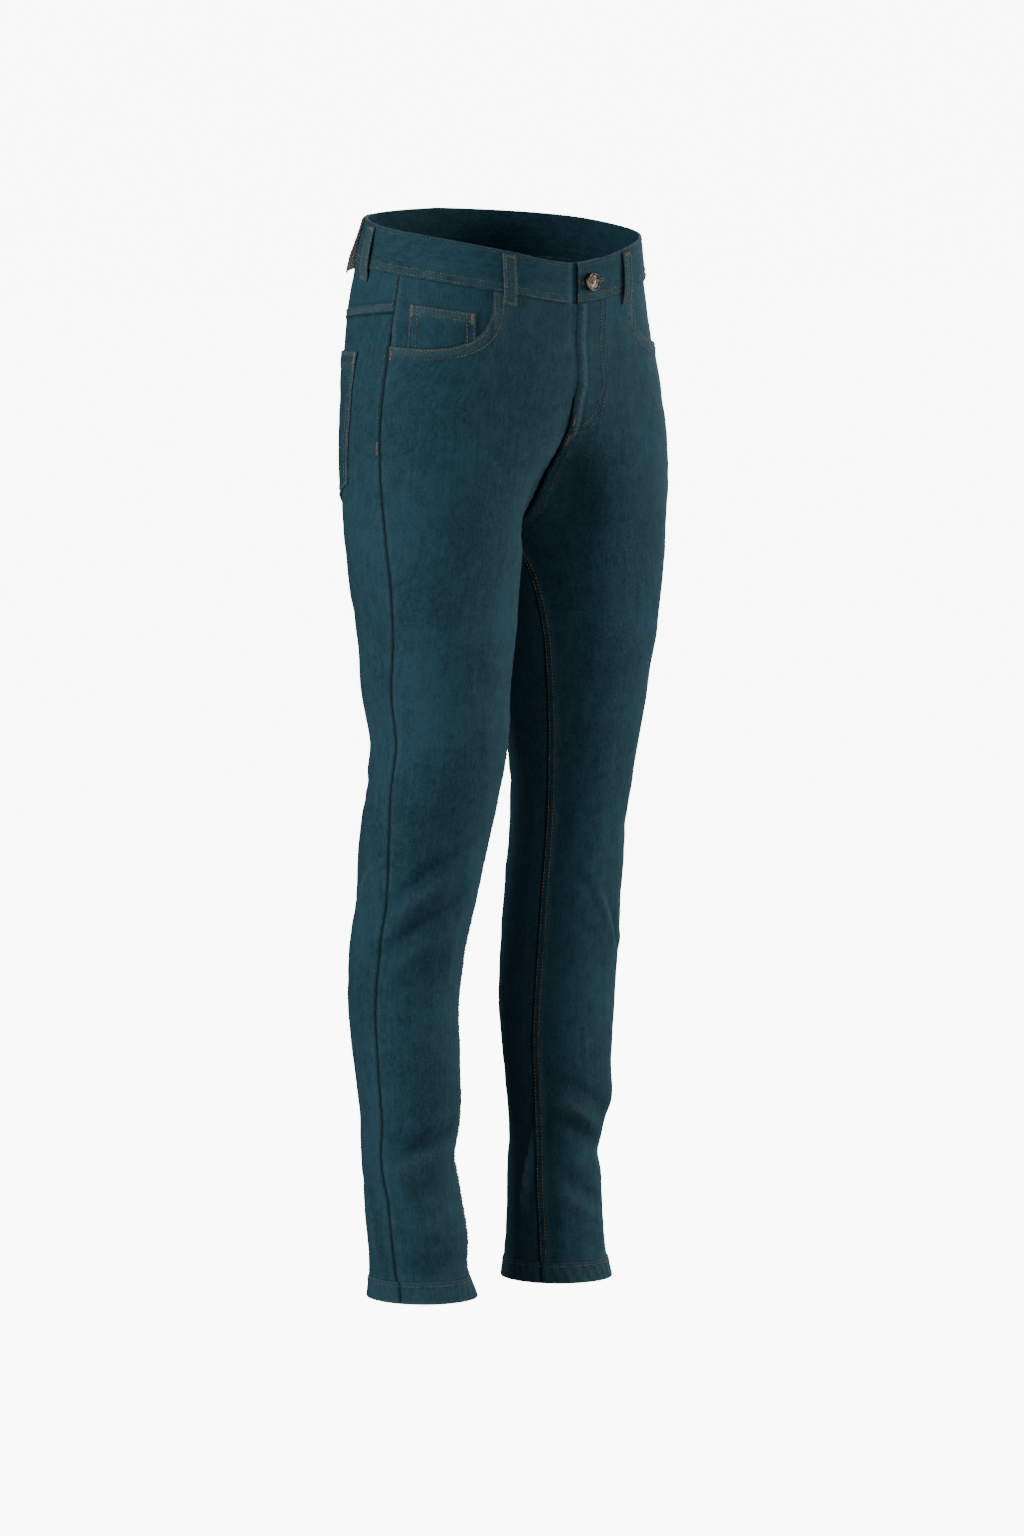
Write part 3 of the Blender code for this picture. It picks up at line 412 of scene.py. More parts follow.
class JeansForm:
    """The worn form of the cloth: hips that divide into two legs."""

    def __init__(self) -> None:
        """Finds where the legs part."""
        self.edge_lines: dict[tuple[Side, Facing, EdgeKind], tuple[Array, Array]] = {}
        self.crotch = {side: self.find_crotch(side) for side in Side}

    def leg_axis(self, side: Side, level: Array) -> tuple[Array, Array]:
        """Distance of the leg axis from the middle plane, and its place front to back."""
        levels = column(LEG_SECTIONS, "level")
        axis_x = curve_at(levels, column(LEG_SECTIONS, "axis_x"), level)
        axis_y = curve_at(levels, column(LEG_SECTIONS, f"{side.word}_y"), level)
        return axis_x, axis_y

    def leg_radius(self, side: Side, angle: Array, level: Array) -> Array:
        """Distance from the axis to a leg's plain surface."""
        levels = column(LEG_SECTIONS, "level")
        width = curve_at(levels, column(LEG_SECTIONS, f"{side.word}_width"), level)
        across = np.abs(np.cos(np.radians(angle))) / (HALF_WIDTH_SHARE * width)
        along = np.abs(np.sin(np.radians(angle))) / (HALF_DEPTH_SHARE * width)
        return (across**LEG_EXPONENT + along**LEG_EXPONENT) ** (-1 / LEG_EXPONENT)

    def hip_depths(self, level: Array) -> list[Array]:
        """Half width, front depth and back depth of the hips."""
        levels = column(HIP_SECTIONS, "level")
        names = ("half_width", "front", "back")
        return [curve_at(levels, column(HIP_SECTIONS, name), level) for name in names]

    def hip_radius(self, side: Side, angle: Array, level: Array) -> Array:
        """Distance from the leg axis to the hips' surface, found by halving."""
        axis_x, axis_y = self.leg_axis(side, level)
        half_width, front, back = self.hip_depths(level)
        step_x = np.cos(np.radians(angle))
        step_y = -np.sin(np.radians(angle))
        near = np.zeros_like(step_x + axis_x)
        far = near + 0.45
        for _ in range(HALVINGS):
            middle = (near + far) / 2
            x = axis_x + middle * step_x
            y = axis_y + middle * step_y
            depth = np.where(y < 0, front, back)
            reach = (np.abs(x) / half_width) ** HIP_EXPONENT + (np.abs(y) / depth) ** HIP_EXPONENT
            near = np.where(reach < 1, middle, near)
            far = np.where(reach < 1, far, middle)
        return (near + far) / 2

    def crease_height(
        self, side: Side, angle: Array, level: Array, radius: Array, creases: Sequence[Crease]
    ) -> Array:
        """How far some creases push the cloth out or in."""
        total = np.zeros(np.broadcast_shapes(np.shape(angle), np.shape(level)))
        for crease in creases:
            if crease.side is not side:
                continue
            turn = (angle - crease.angle + TURN / 2) % TURN - TURN / 2
            around = np.radians(turn) * radius
            up = level - crease.level
            lean = math.radians(crease.lean)
            along = around * math.cos(lean) + up * math.sin(lean)
            across = up * math.cos(lean) - around * math.sin(lean) + crease.bow * along**2
            total = total + crease.height * hill(along, crease.reach) * hill(across, crease.width)
        return total

    def radius(self, side: Side, angle: Array, level: Array) -> Array:
        """Distance from the leg axis to the cloth's outer face."""
        hip = ease((level - CROTCH_BLEND_BOTTOM) / (CROTCH_BLEND_TOP - CROTCH_BLEND_BOTTOM))
        leg_part = self.leg_radius(side, angle, level) * (1 - hip)
        radius = leg_part + self.hip_radius(side, angle, level) * hip
        return radius + self.crease_height(side, angle, level, radius, FOLDS + FINE_CREASES)

    def surface(self, side: Side, angle: Array, level: Array) -> Array:
        """The cloth's outer face.

        Args:
            side: The side whose leg axis the angle goes round.
            angle: Angles in degrees.
            level: Levels in metres, which broadcast with the angles.

        Returns:
            The points, in the last axis.
        """
        angle, level = np.broadcast_arrays(np.asarray(angle, float), np.asarray(level, float))
        axis_x, axis_y = self.leg_axis(side, level)
        radius = self.radius(side, angle, level)
        x = axis_x + radius * np.cos(np.radians(angle))
        y = axis_y - radius * np.sin(np.radians(angle))
        half_width, front, back = self.hip_depths(level)
        depth = np.where(y < 0, front, back)
        round_hips = np.degrees(np.arctan2(-y / depth, x / half_width))
        rim = curve_at(column(RIM, "angle"), column(RIM, "height"), round_hips)
        z = level + rim * ease(1 + level / RIM_FADES_OUT)
        return np.stack([side.value * x, y, z], axis=-1)

    def outward(self, side: Side, angle: Array, level: Array) -> Array:
        """The direction straight out of the cloth."""
        angle, level = np.broadcast_arrays(np.asarray(angle, float), np.asarray(level, float))
        small_angle, small_level = 0.5, 0.0008
        around = self.surface(side, angle + small_angle, level)
        around = around - self.surface(side, angle - small_angle, level)
        up = self.surface(side, angle, level + small_level)
        up = up - self.surface(side, angle, level - small_level)
        normal = np.cross(up, around) * side.value
        return normal / np.linalg.norm(normal, axis=-1, keepdims=True)

    def raised(self, side: Side, angle: Array, level: Array, height: Array) -> Array:
        """A point a given height above the cloth's outer face."""
        normal = self.outward(side, angle, level)
        return self.surface(side, angle, level) + normal * np.asarray(height, float)[..., None]

    def row(self, side: Side, angle: Array, level: Array, height: Array) -> Row:
        """A line of sewing at a height above the form."""
        angle, level, height = np.broadcast_arrays(
            np.asarray(angle, float), np.asarray(level, float), np.asarray(height, float)
        )
        outs = self.outward(side, angle, level)
        return Row(self.surface(side, angle, level) + outs * height[..., None], outs)

    def angle_at_x(self, side: Side, level: Array, x: Array, facing: Facing) -> Array:
        """The angle at which a level's ring is a distance x from the middle plane."""
        level, x = np.broadcast_arrays(np.asarray(level, float), np.asarray(x, float))
        near = np.full(level.shape, 80.0)
        far = np.full(level.shape, TURN / 2)
        for _ in range(HALVINGS):
            middle = (near + far) / 2
            beyond = self.surface(side, facing.value * middle, level)[..., 0] * side.value > x
            near = np.where(beyond, middle, near)
            far = np.where(beyond, far, middle)
        return facing.value * (near + far) / 2

    def side_seam(self, level: Array) -> Array:
        """Where the side seam runs."""
        return curve_at(column(LEG_SECTIONS, "level"), column(LEG_SECTIONS, "side_seam"), level)

    def gap_angle(self, side: Side, level: Array) -> Array:
        """Half the seam gap, as an angle round the leg."""
        return np.degrees(SEAM_GAP / 2 / self.leg_radius(side, 90.0, level))

    def find_crotch(self, side: Side) -> float:
        """The level at which the ring of one side closes on itself at the middle plane."""
        low = CROTCH_BLEND_BOTTOM - CROTCH_SEARCH
        high = CROTCH_BLEND_BOTTOM + CROTCH_SEARCH
        for _ in range(HALVINGS):
            middle = (low + high) / 2
            if self.surface(side, TURN / 2, middle)[0] * side.value > SEAM_GAP / 2:
                low = middle
            else:
                high = middle
        return (low + high) / 2

    def fly_reach(self, kind: EdgeKind, level: Array) -> Array:
        """Distance of a panel's edge from the middle plane, with the laps above the fly's end."""
        open_part = ease((level - FLY_END) / FLY_EASE)
        reach = {EdgeKind.LAP: FLY_EDGE_X, EdgeKind.UNDERLAP: -FLY_UNDERLAP_X}
        return SEAM_GAP / 2 + (reach.get(kind, SEAM_GAP / 2) - SEAM_GAP / 2) * open_part

    def make_edge_line(self, side: Side, facing: Facing, kind: EdgeKind) -> tuple[Array, Array]:
        """Levels in rising order, and the angle of a panel's inner edge at each."""
        crotch = self.crotch[side]
        above_crotch = 0.022
        rise = np.concatenate(
            [
                np.linspace(0.0, crotch + above_crotch, 280),
                np.linspace(crotch + above_crotch, crotch, 90)[1:],
            ]
        )
        leg = np.linspace(crotch - SEAM_GAP, -LEG_LENGTH, 400)
        rise_angle = np.abs(self.angle_at_x(side, rise, self.fly_reach(kind, rise), facing))
        rise_angle = np.minimum(rise_angle, TURN / 2 - self.gap_angle(side, rise))
        inseam = curve_at(column(LEG_SECTIONS, "level"), column(LEG_SECTIONS, "inseam"), leg)
        seam = TURN / 2 + (inseam - TURN / 2) * ease((crotch - leg) / INSEAM_BLEND)
        gap = self.gap_angle(side, leg)
        leg_angle = seam - gap if facing is Facing.FRONT else TURN - seam - gap
        levels = np.concatenate([rise, leg])[::-1]
        return levels, facing.value * np.concatenate([rise_angle, leg_angle])[::-1]

    def inner_edge(self, side: Side, facing: Facing, kind: EdgeKind, level: Array) -> Array:
        """The angle of a panel's inner edge: the rise above the crotch, the inseam below it."""
        key = (side, facing, kind)
        if key not in self.edge_lines:
            self.edge_lines[key] = self.make_edge_line(*key)
        return np.interp(level, *self.edge_lines[key])

    def panel_levels(self, side: Side, top: float) -> Array:
        """Row levels from a panel's top to the hem seam, with one row exactly at the crotch."""
        stations = (
            (SETTLED_LEVEL, 42),
            (-0.225, 20),
            (self.crotch[side], 22),
            (-0.330, 16),
            (-0.480, 46),
            (-0.700, 72),
            (HEM_SEAM, 98),
        )
        levels = [top]
        for end, count in stations:
            levels.extend(np.linspace(levels[-1], end, count + 1)[1:])
        return np.array(levels)


class Finish(Enum):
    """The record's material slots."""

    DENIM = "denim"
    METAL = "antique_brass"
    LEATHER = "patch_leather"


@dataclass
class Shell:
    """A closed wall of cloth between two grids of points, with its own coordinates and a value at each point for worn
    places and painted light and shade.
    """

    name: str
    outer: Array
    inner: Array
    grain: Array
    wear: Array
    closed: bool = False

    def steps(self) -> tuple[Array, Array]:
        """Each column and the one after it, with the last joined to the first on a closed ring."""
        columns = self.outer.shape[1]
        here = np.arange(columns if self.closed else columns - 1)
        return here, (here + 1) % columns

    def faces(self) -> list[list[int]]:
        """The four-sided faces of both skins and of the edges."""
        rows, columns = self.outer.shape[:2]
        index = np.arange(rows * columns).reshape(rows, columns)
        here, after = self.steps()
        made = []
        for shift in (0, rows * columns):
            skin = index + shift
            quads = (skin[:-1, here], skin[:-1, after], skin[1:, after], skin[1:, here])
            made.append(np.stack(quads, axis=-1).reshape(-1, 4))
        back = rows * columns
        for r in (0, rows - 1):
            line = index[r]
            quads = (line[here], line[after], line[after] + back, line[here] + back)
            made.append(np.stack(quads, axis=-1))
        if not self.closed:
            for c in (0, columns - 1):
                line = index[:, c]
                quads = (line[:-1], line[1:], line[1:] + back, line[:-1] + back)
                made.append(np.stack(quads, axis=-1))
        return np.concatenate(made).tolist()

    def flat_size(self) -> tuple[float, float, float]:
        """Width, length and area of the cut, measured along the cloth."""
        here, after = self.steps()
        across = np.linalg.norm(self.outer[:, after] - self.outer[:, here], axis=-1)
        down = np.linalg.norm(np.diff(self.outer, axis=0), axis=-1)
        first = np.cross(
            self.outer[:-1, after] - self.outer[:-1, here], self.outer[1:, here] - self.outer[:-1, here]
        )
        second = np.cross(
            self.outer[1:, here] - self.outer[1:, after], self.outer[:-1, after] - self.outer[1:, after]
        )
        area = (np.linalg.norm(first, axis=-1) + np.linalg.norm(second, axis=-1)).sum() / 2
        width = float(across.sum(axis=1).max())
        length = float(down.sum(axis=0).max())
        return width, length, min(float(area), width * length)

    def build(self) -> bpy.types.Object:
        """Makes the mesh, with the cloth's coordinates as its UV map and its worn places with painted light and shade
        as an attribute.
        """
        points = np.concatenate([self.outer.reshape(-1, 3), self.inner.reshape(-1, 3)])
        mesh = bpy.data.meshes.new(self.name)
        mesh.from_pydata(points.tolist(), [], self.faces())
        form = bmesh.new()
        form.from_mesh(mesh)
        bmesh.ops.recalc_face_normals(form, faces=form.faces)
        form.to_mesh(mesh)
        form.free()
        corner = np.empty(len(mesh.loops), int)
        mesh.loops.foreach_get("vertex_index", corner)
        grain = np.tile(self.grain.reshape(-1, 2), (2, 1))
        mesh.uv_layers.new(name="cloth").data.foreach_set("uv", grain[corner].ravel())
        wear = np.concatenate([self.wear.ravel(), np.zeros(self.wear.size)])
        mesh.attributes.new("wear", "FLOAT", "POINT").data.foreach_set("value", wear)
        mesh.shade_smooth()
        mesh.set_sharp_from_angle(angle=math.radians(SHARP_DEGREES))
        piece = bpy.data.objects.new(self.name, mesh)
        bpy.context.scene.collection.objects.link(piece)
        return piece


def grain_of(points: Array, level: Array) -> Array:
    """The cloth's own coordinates in metres: across the grain from the middle, and down it."""
    across = np.linalg.norm(np.diff(points, axis=1), axis=-1)
    across = np.concatenate([np.zeros((len(points), 1)), np.cumsum(across, axis=1)], axis=1)
    across = across - across[:, across.shape[1] // 2, None]
    return np.stack([across, np.broadcast_to(level, across.shape)], axis=-1)


def dress(piece: bpy.types.Object, finish: "Material", nodes: Sequence[str] = ()) -> None:
    """Gives a finished piece its material and body, and hides the solids of the nodes that it stands for.

    Args:
        piece: The finished piece, at the origin.
        finish: The material.
        nodes: The nodes that it replaces.
    """
    piece.data.materials.clear()
    piece.data.materials.append(finish.material)
    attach(piece, "root")
    if nodes:
        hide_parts(*nodes)
    LOG.info("%s: %d faces", piece.name, len(piece.data.polygons))


class NodeGraph:
    """Short words for placing and joining nodes in one tree."""

    def __init__(self, tree: bpy.types.NodeTree) -> None:
        """Keeps the tree that is being built."""
        self.tree = tree

    def add(self, kind: str, settings: dict | None = None, **inputs: object) -> bpy.types.Node:
        """Places a node.

        Args:
            kind: The node's type.
            settings: Properties of the node.
            **inputs: Values or outputs for its enabled sockets, by name with _ for a space.

        Returns:
            The node.
        """
        node = self.tree.nodes.new(kind)
        for name, value in (settings or {}).items():
            setattr(node, name, value)
        for name, value in inputs.items():
            self.feed(node, name.replace("_", " "), value)
        return node

    def feed(self, node: bpy.types.Node, name: str, value: object) -> None:
        """Sets or links the enabled socket of that name."""
        socket = next(s for s in node.inputs if s.name == name and s.enabled)
        if isinstance(value, bpy.types.NodeSocket):
            self.tree.links.new(value, socket)
        else:
            socket.default_value = value

    def math(self, operation: str, first: object, second: object = 0.0) -> bpy.types.NodeSocket:
        """Places a Math node and gives its output."""
        node = self.tree.nodes.new("ShaderNodeMath")
        node.operation = operation
        for socket, value in zip(node.inputs, (first, second)):
            if isinstance(value, bpy.types.NodeSocket):
                self.tree.links.new(value, socket)
            else:
                socket.default_value = value
        return node.outputs[0]

    def blend(self, share: object, first: object, second: object) -> bpy.types.NodeSocket:
        """Mixes two colours by a share."""
        node = self.tree.nodes.new("ShaderNodeMix")
        node.data_type = "RGBA"
        for socket, value in zip((node.inputs[0], node.inputs[6], node.inputs[7]), (share, first, second)):
            if isinstance(value, bpy.types.NodeSocket):
                self.tree.links.new(value, socket)
            else:
                socket.default_value = value
        return node.outputs[2]

    def limits(self, value: object, low: float, high: float) -> bpy.types.NodeSocket:
        """Stretches a value's range from low to high onto 0 to 1, softly and clamped."""
        settings = {"interpolation_type": "SMOOTHSTEP"}
        node = self.add("ShaderNodeMapRange", settings, Value=value, From_Min=low, From_Max=high)
        return node.outputs[0]


def new_group(name: str, inputs: dict[str, tuple[str, object]], outputs: dict[str, str]) -> NodeGraph:
    """Makes a shader node group with named sockets.

    Args:
        name: The group's name.
        inputs: Each input's socket type and first value.
        outputs: Each output's socket type.

    Returns:
        The graph of the new group, with its input and output nodes placed.
    """
    tree = bpy.data.node_groups.new(name, "ShaderNodeTree")
    for word, (kind, value) in inputs.items():
        made = tree.interface.new_socket(word, in_out="INPUT", socket_type=kind)
        if value is not None:
            made.default_value = value
    for word, kind in outputs.items():
        tree.interface.new_socket(word, in_out="OUTPUT", socket_type=kind)
    tree.nodes.new("NodeGroupInput")
    tree.nodes.new("NodeGroupOutput")
    return NodeGraph(tree)


class SharedEffects:
    """The shader node groups that more than one finish uses."""

    def __init__(self) -> None:
        """Builds each group once."""
        self.twill = self.build_twill()
        self.mottle = self.build_mottle()

    def build_twill(self) -> bpy.types.NodeTree:
        """Twill: slanting ribs broken up by uneven yarns. Puts out a height and a light mask."""
        inputs = {
            "Cloth": ("NodeSocketVector", None),
            "Rib Pitch": ("NodeSocketFloat", 0.0009),
            "Slub": ("NodeSocketFloat", 0.5),
        }
        outputs = {"Height": "NodeSocketFloat", "Yarn": "NodeSocketFloat"}
        graph = new_group("twill_weave", inputs, outputs)
        given = graph.tree.nodes["Group Input"]
        split = graph.add("ShaderNodeSeparateXYZ", Vector=given.outputs["Cloth"])
        slant = graph.math("MULTIPLY", split.outputs["X"], 0.86)
        rise = graph.math("MULTIPLY", split.outputs["Y"], 0.52)
        run = graph.math("DIVIDE", graph.math("ADD", slant, rise), given.outputs["Rib Pitch"])
        ribs = graph.math("SINE", graph.math("MULTIPLY", run, 2 * math.pi))
        along = graph.add("ShaderNodeMapping", Vector=given.outputs["Cloth"], Scale=(1.0, 0.12, 1.0))
        yarn = graph.add("ShaderNodeTexNoise", Vector=along.outputs[0], Scale=1150.0, Detail=2.0)
        across = graph.add("ShaderNodeMapping", Vector=given.outputs["Cloth"], Scale=(0.16, 1.0, 1.0))
        weft = graph.add("ShaderNodeTexNoise", Vector=across.outputs[0], Scale=900.0, Detail=1.0)
        fibre = graph.math("ADD", yarn.outputs[0], graph.math("MULTIPLY", weft.outputs[0], 0.6))
        uneven = graph.math("MULTIPLY", fibre, given.outputs["Slub"])
        height = graph.math("ADD", graph.math("MULTIPLY", ribs, 0.35), uneven)
        given_out = graph.tree.nodes["Group Output"]
        graph.tree.links.new(height, given_out.inputs["Height"])
        graph.tree.links.new(graph.limits(fibre, 0.60, 1.05), given_out.inputs["Yarn"])
        return graph.tree

    def build_mottle(self) -> bpy.types.NodeTree:
        """Uneven dye: broad clouds, middling patches and long faint streaks, as one mask."""
        inputs = {
            "Cloth": ("NodeSocketVector", None),
            "Cloud Scale": ("NodeSocketFloat", 9.0),
            "Patch Scale": ("NodeSocketFloat", 70.0),
        }
        graph = new_group("dye_mottle", inputs, {"Mask": "NodeSocketFloat"})
        given = graph.tree.nodes["Group Input"]
        clouds = graph.add(
            "ShaderNodeTexNoise", Vector=given.outputs["Cloth"], Scale=given.outputs["Cloud Scale"], Detail=3.0
        )
        patches = graph.add(
            "ShaderNodeTexNoise", Vector=given.outputs["Cloth"], Scale=given.outputs["Patch Scale"], Detail=4.0
        )
        long_way = graph.add("ShaderNodeMapping", Vector=given.outputs["Cloth"], Scale=(1.0, 0.07, 1.0))
        streaks = graph.add("ShaderNodeTexNoise", Vector=long_way.outputs[0], Scale=260.0, Detail=2.0)
        total = graph.math("ADD", clouds.outputs[0], graph.math("MULTIPLY", patches.outputs[0], 0.8))
        total = graph.math("ADD", total, graph.math("MULTIPLY", streaks.outputs[0], 0.7))
        mask = graph.limits(total, 1.0, 1.5)
        graph.tree.links.new(mask, graph.tree.nodes["Group Output"].inputs["Mask"])
        return graph.tree


class Material:
    """A procedural material, tagged with one of the record's material slots."""

    slot: Finish = Finish.DENIM

    def __init__(self, name: str) -> None:
        """Makes an empty node material with its shader."""
        self.material = bpy.data.materials.new(name)
        self.material.use_nodes = True
        self.graph = NodeGraph(self.material.node_tree)
        self.shader = self.material.node_tree.nodes["Principled BSDF"]

    def set(self, **values: object) -> None:
        """Sets or links the shader's own sockets, by name with _ for a space."""
        for name, value in values.items():
            self.graph.feed(self.shader, name.replace("_", " "), value)

    def bump(self, height: object, distance: float, strength: float, under: object = None) -> bpy.types.NodeSocket:
        """A Bump node.

        Args:
            height: The height, from 0 to about 1.
            distance: How far a height of 1 stands out, in metres.
            strength: How strongly it shows.
            under: A normal that it is laid over.

        Returns:
            The normal.
        """
        node = self.graph.add("ShaderNodeBump", Height=height, Distance=distance, Strength=strength)
        if under is not None:
            self.graph.feed(node, "Normal", under)
        return node.outputs[0]


@dataclass(frozen=True)
class DenimColours:
    """The dye's colours, darkest to palest, and a near-black colour painted as shade in seams and crease troughs."""

    deep: tuple[float, float, float, float] = (0.0050, 0.0310, 0.0445, 1.0)
    body: tuple[float, float, float, float] = (0.0128, 0.0540, 0.0770, 1.0)
    worn: tuple[float, float, float, float] = (0.0880, 0.1250, 0.1320, 1.0)
    yarn: tuple[float, float, float, float] = (0.0300, 0.0840, 0.1090, 1.0)
    # Painted shade: the near-black colour for seam recesses, crease troughs and the groove beside the lap.
    seam: tuple[float, float, float, float] = (0.0010, 0.0070, 0.0100, 1.0)


class Denim(Material):
    """Overdyed stretch twill: matt and slightly napped, with paler worn ridges along its seams, painted shade in its
    seams and crease troughs, and painted highlights on crease ridges.
    """

    def __init__(self, name: str, effects: SharedEffects, colours: DenimColours = DenimColours()) -> None:
        """Builds the twill, the uneven dye, the worn ridges with painted highlights, the painted seam shade and a soft
        sheen.
        """
        super().__init__(name)
        graph = self.graph
        cloth = graph.add("ShaderNodeUVMap", {"uv_map": "cloth"}).outputs[0]
        twill = graph.add("ShaderNodeGroup", {"node_tree": effects.twill}, Cloth=cloth)
        mottle = graph.add("ShaderNodeGroup", {"node_tree": effects.mottle}, Cloth=cloth)
        wear = graph.add("ShaderNodeAttribute", {"attribute_name": "wear"}).outputs["Fac"]
        dyed = graph.blend(mottle.outputs["Mask"], colours.deep, colours.body)
        yarns = graph.math("MULTIPLY", twill.outputs["Yarn"], 0.55)
        dyed = graph.blend(yarns, dyed, colours.yarn)
        spots = graph.add("ShaderNodeTexNoise", Vector=cloth, Scale=420.0, Detail=3.0)
        broken = graph.limits(spots.outputs[0], 0.35, 0.7)
        # Paler towards the worn colour: real wear on edges and seam ridges, and painted highlights on crease ridges
        # and the lap's puffed edge.
        rubbed_and_lit = graph.math("MULTIPLY", wear, graph.math("ADD", graph.math("MULTIPLY", broken, 0.75), 0.25))
        rubbed_and_lit = graph.math("MAXIMUM", rubbed_and_lit, 0.0)
        # Darker towards the near-black seam colour: painted shade in seams, crease troughs and the groove beside the
        # lap.
        shaded = graph.math("MAXIMUM", graph.math("MULTIPLY", wear, -0.85), 0.0)
        colour = graph.blend(shaded, graph.blend(rubbed_and_lit, dyed, colours.worn), colours.seam)
        lumps = graph.add("ShaderNodeTexNoise", Vector=cloth, Scale=190.0, Detail=3.0)
        soft = self.bump(lumps.outputs[0], 0.0009, 0.30)
        weave = self.bump(twill.outputs["Height"], 0.00030, 0.55, soft)
        rough = graph.math("ADD", graph.math("MULTIPLY", twill.outputs["Yarn"], 0.10), 0.78)
        self.set(Base_Color=colour, Roughness=rough, Normal=weave)
        self.set(Specular_IOR_Level=0.18, Sheen_Weight=0.15, Sheen_Roughness=0.45)
        self.set(Sheen_Tint=(0.44, 0.78, 0.90, 1.0))


class Thread(Material):
    """Sewing thread: a twisted yarn, a little shiny, whose colour shifts along the seam."""

    def __init__(self, name: str, first: tuple[float, ...], second: tuple[float, ...]) -> None:
        """Builds the shift between two colours and the thread's twist.

        Args:
            name: The material's name.
            first: The darker colour.
            second: The paler colour.
        """
        super().__init__(name)
        graph = self.graph
        place = graph.add("ShaderNodeTexCoord").outputs["Object"]
        shift = graph.add("ShaderNodeTexNoise", Vector=place, Scale=120.0, Detail=3.0)
        colour = graph.blend(graph.limits(shift.outputs[0], 0.38, 0.62), first, second)
        fibre = graph.add("ShaderNodeTexNoise", Vector=place, Scale=3200.0, Detail=2.0)
        self.set(Base_Color=colour, Normal=self.bump(fibre.outputs[0], 0.0002, 0.4))
        self.set(Roughness=0.62, Specular_IOR_Level=0.35, Sheen_Weight=0.15)


class PatchLeather(Material):
    """Dark brown leather: fine pores, faint clouds and a slightly burnished face."""

    slot = Finish.LEATHER

    def __init__(self, name: str) -> None:
        """Builds the grain and the colour clouds."""
        super().__init__(name)
        graph = self.graph
        place = graph.add("ShaderNodeTexCoord").outputs["Object"]
        clouds = graph.add("ShaderNodeTexNoise", Vector=place, Scale=60.0, Detail=4.0)
        colour = graph.blend(
            graph.limits(clouds.outputs[0], 0.35, 0.65), (0.062, 0.046, 0.040, 1.0), (0.105, 0.080, 0.070, 1.0)
        )
        pores = graph.add("ShaderNodeTexVoronoi", Vector=place, Scale=1500.0)
        grain = self.bump(pores.outputs["Distance"], 0.0002, 0.15)
        rough = graph.math("ADD", graph.math("MULTIPLY", clouds.outputs[0], 0.25), 0.42)
        self.set(Base_Color=colour, Roughness=rough, Normal=grain, Specular_IOR_Level=0.4)


class AgedBrass(Material):
    """Aged brass, its tarnish dark in some clouds and paler in others."""

    slot = Finish.METAL

    def __init__(self, name: str) -> None:
        """Builds the tarnish over the metal."""
        super().__init__(name)
        graph = self.graph
        place = graph.add("ShaderNodeTexCoord").outputs["Object"]
        clouds = graph.add("ShaderNodeTexNoise", Vector=place, Scale=260.0, Detail=3.0)
        tarnish = graph.limits(clouds.outputs[0], 0.34, 0.72)
        colour = graph.blend(tarnish, (0.032, 0.027, 0.021, 1.0), (0.185, 0.150, 0.108, 1.0))
        rough = graph.math("ADD", graph.math("MULTIPLY", tarnish, -0.16), 0.46)
        grain = self.bump(clouds.outputs[0], 0.0001, 0.25)
        self.set(Base_Color=colour, Roughness=rough, Metallic=0.95, Normal=grain)


class ThreadKind(Enum):
    """The threads that the jeans are sewn with."""

    BROWN = "brown"
    TEAL = "teal"
    OLIVE = "olive"
    TAN = "tan"
    DARK = "dark"


@dataclass(frozen=True)
class Stitch:
    """One kind of stitch: its pitch along the line, its own size, its turn and how it wanders."""

    name: str
    pitch: float
    length: float
    thickness: float
    turn: float
    wander: float


TOPSTITCH = Stitch("topstitch", 0.0034, 0.0029, 0.00095, 0.0, 0.07)
BARTACK = Stitch("bartack", 0.00068, 0.0034, 0.00068, 1.38, 0.12)
PATCH_STITCH = Stitch("patch_stitch", 0.0026, 0.0022, 0.00050, 0.0, 0.05)
HOLE_STITCH = Stitch("buttonhole", 0.00062, 0.0024, 0.00060, math.pi / 2, 0.14)
THREAD_LIFT = 0.00022


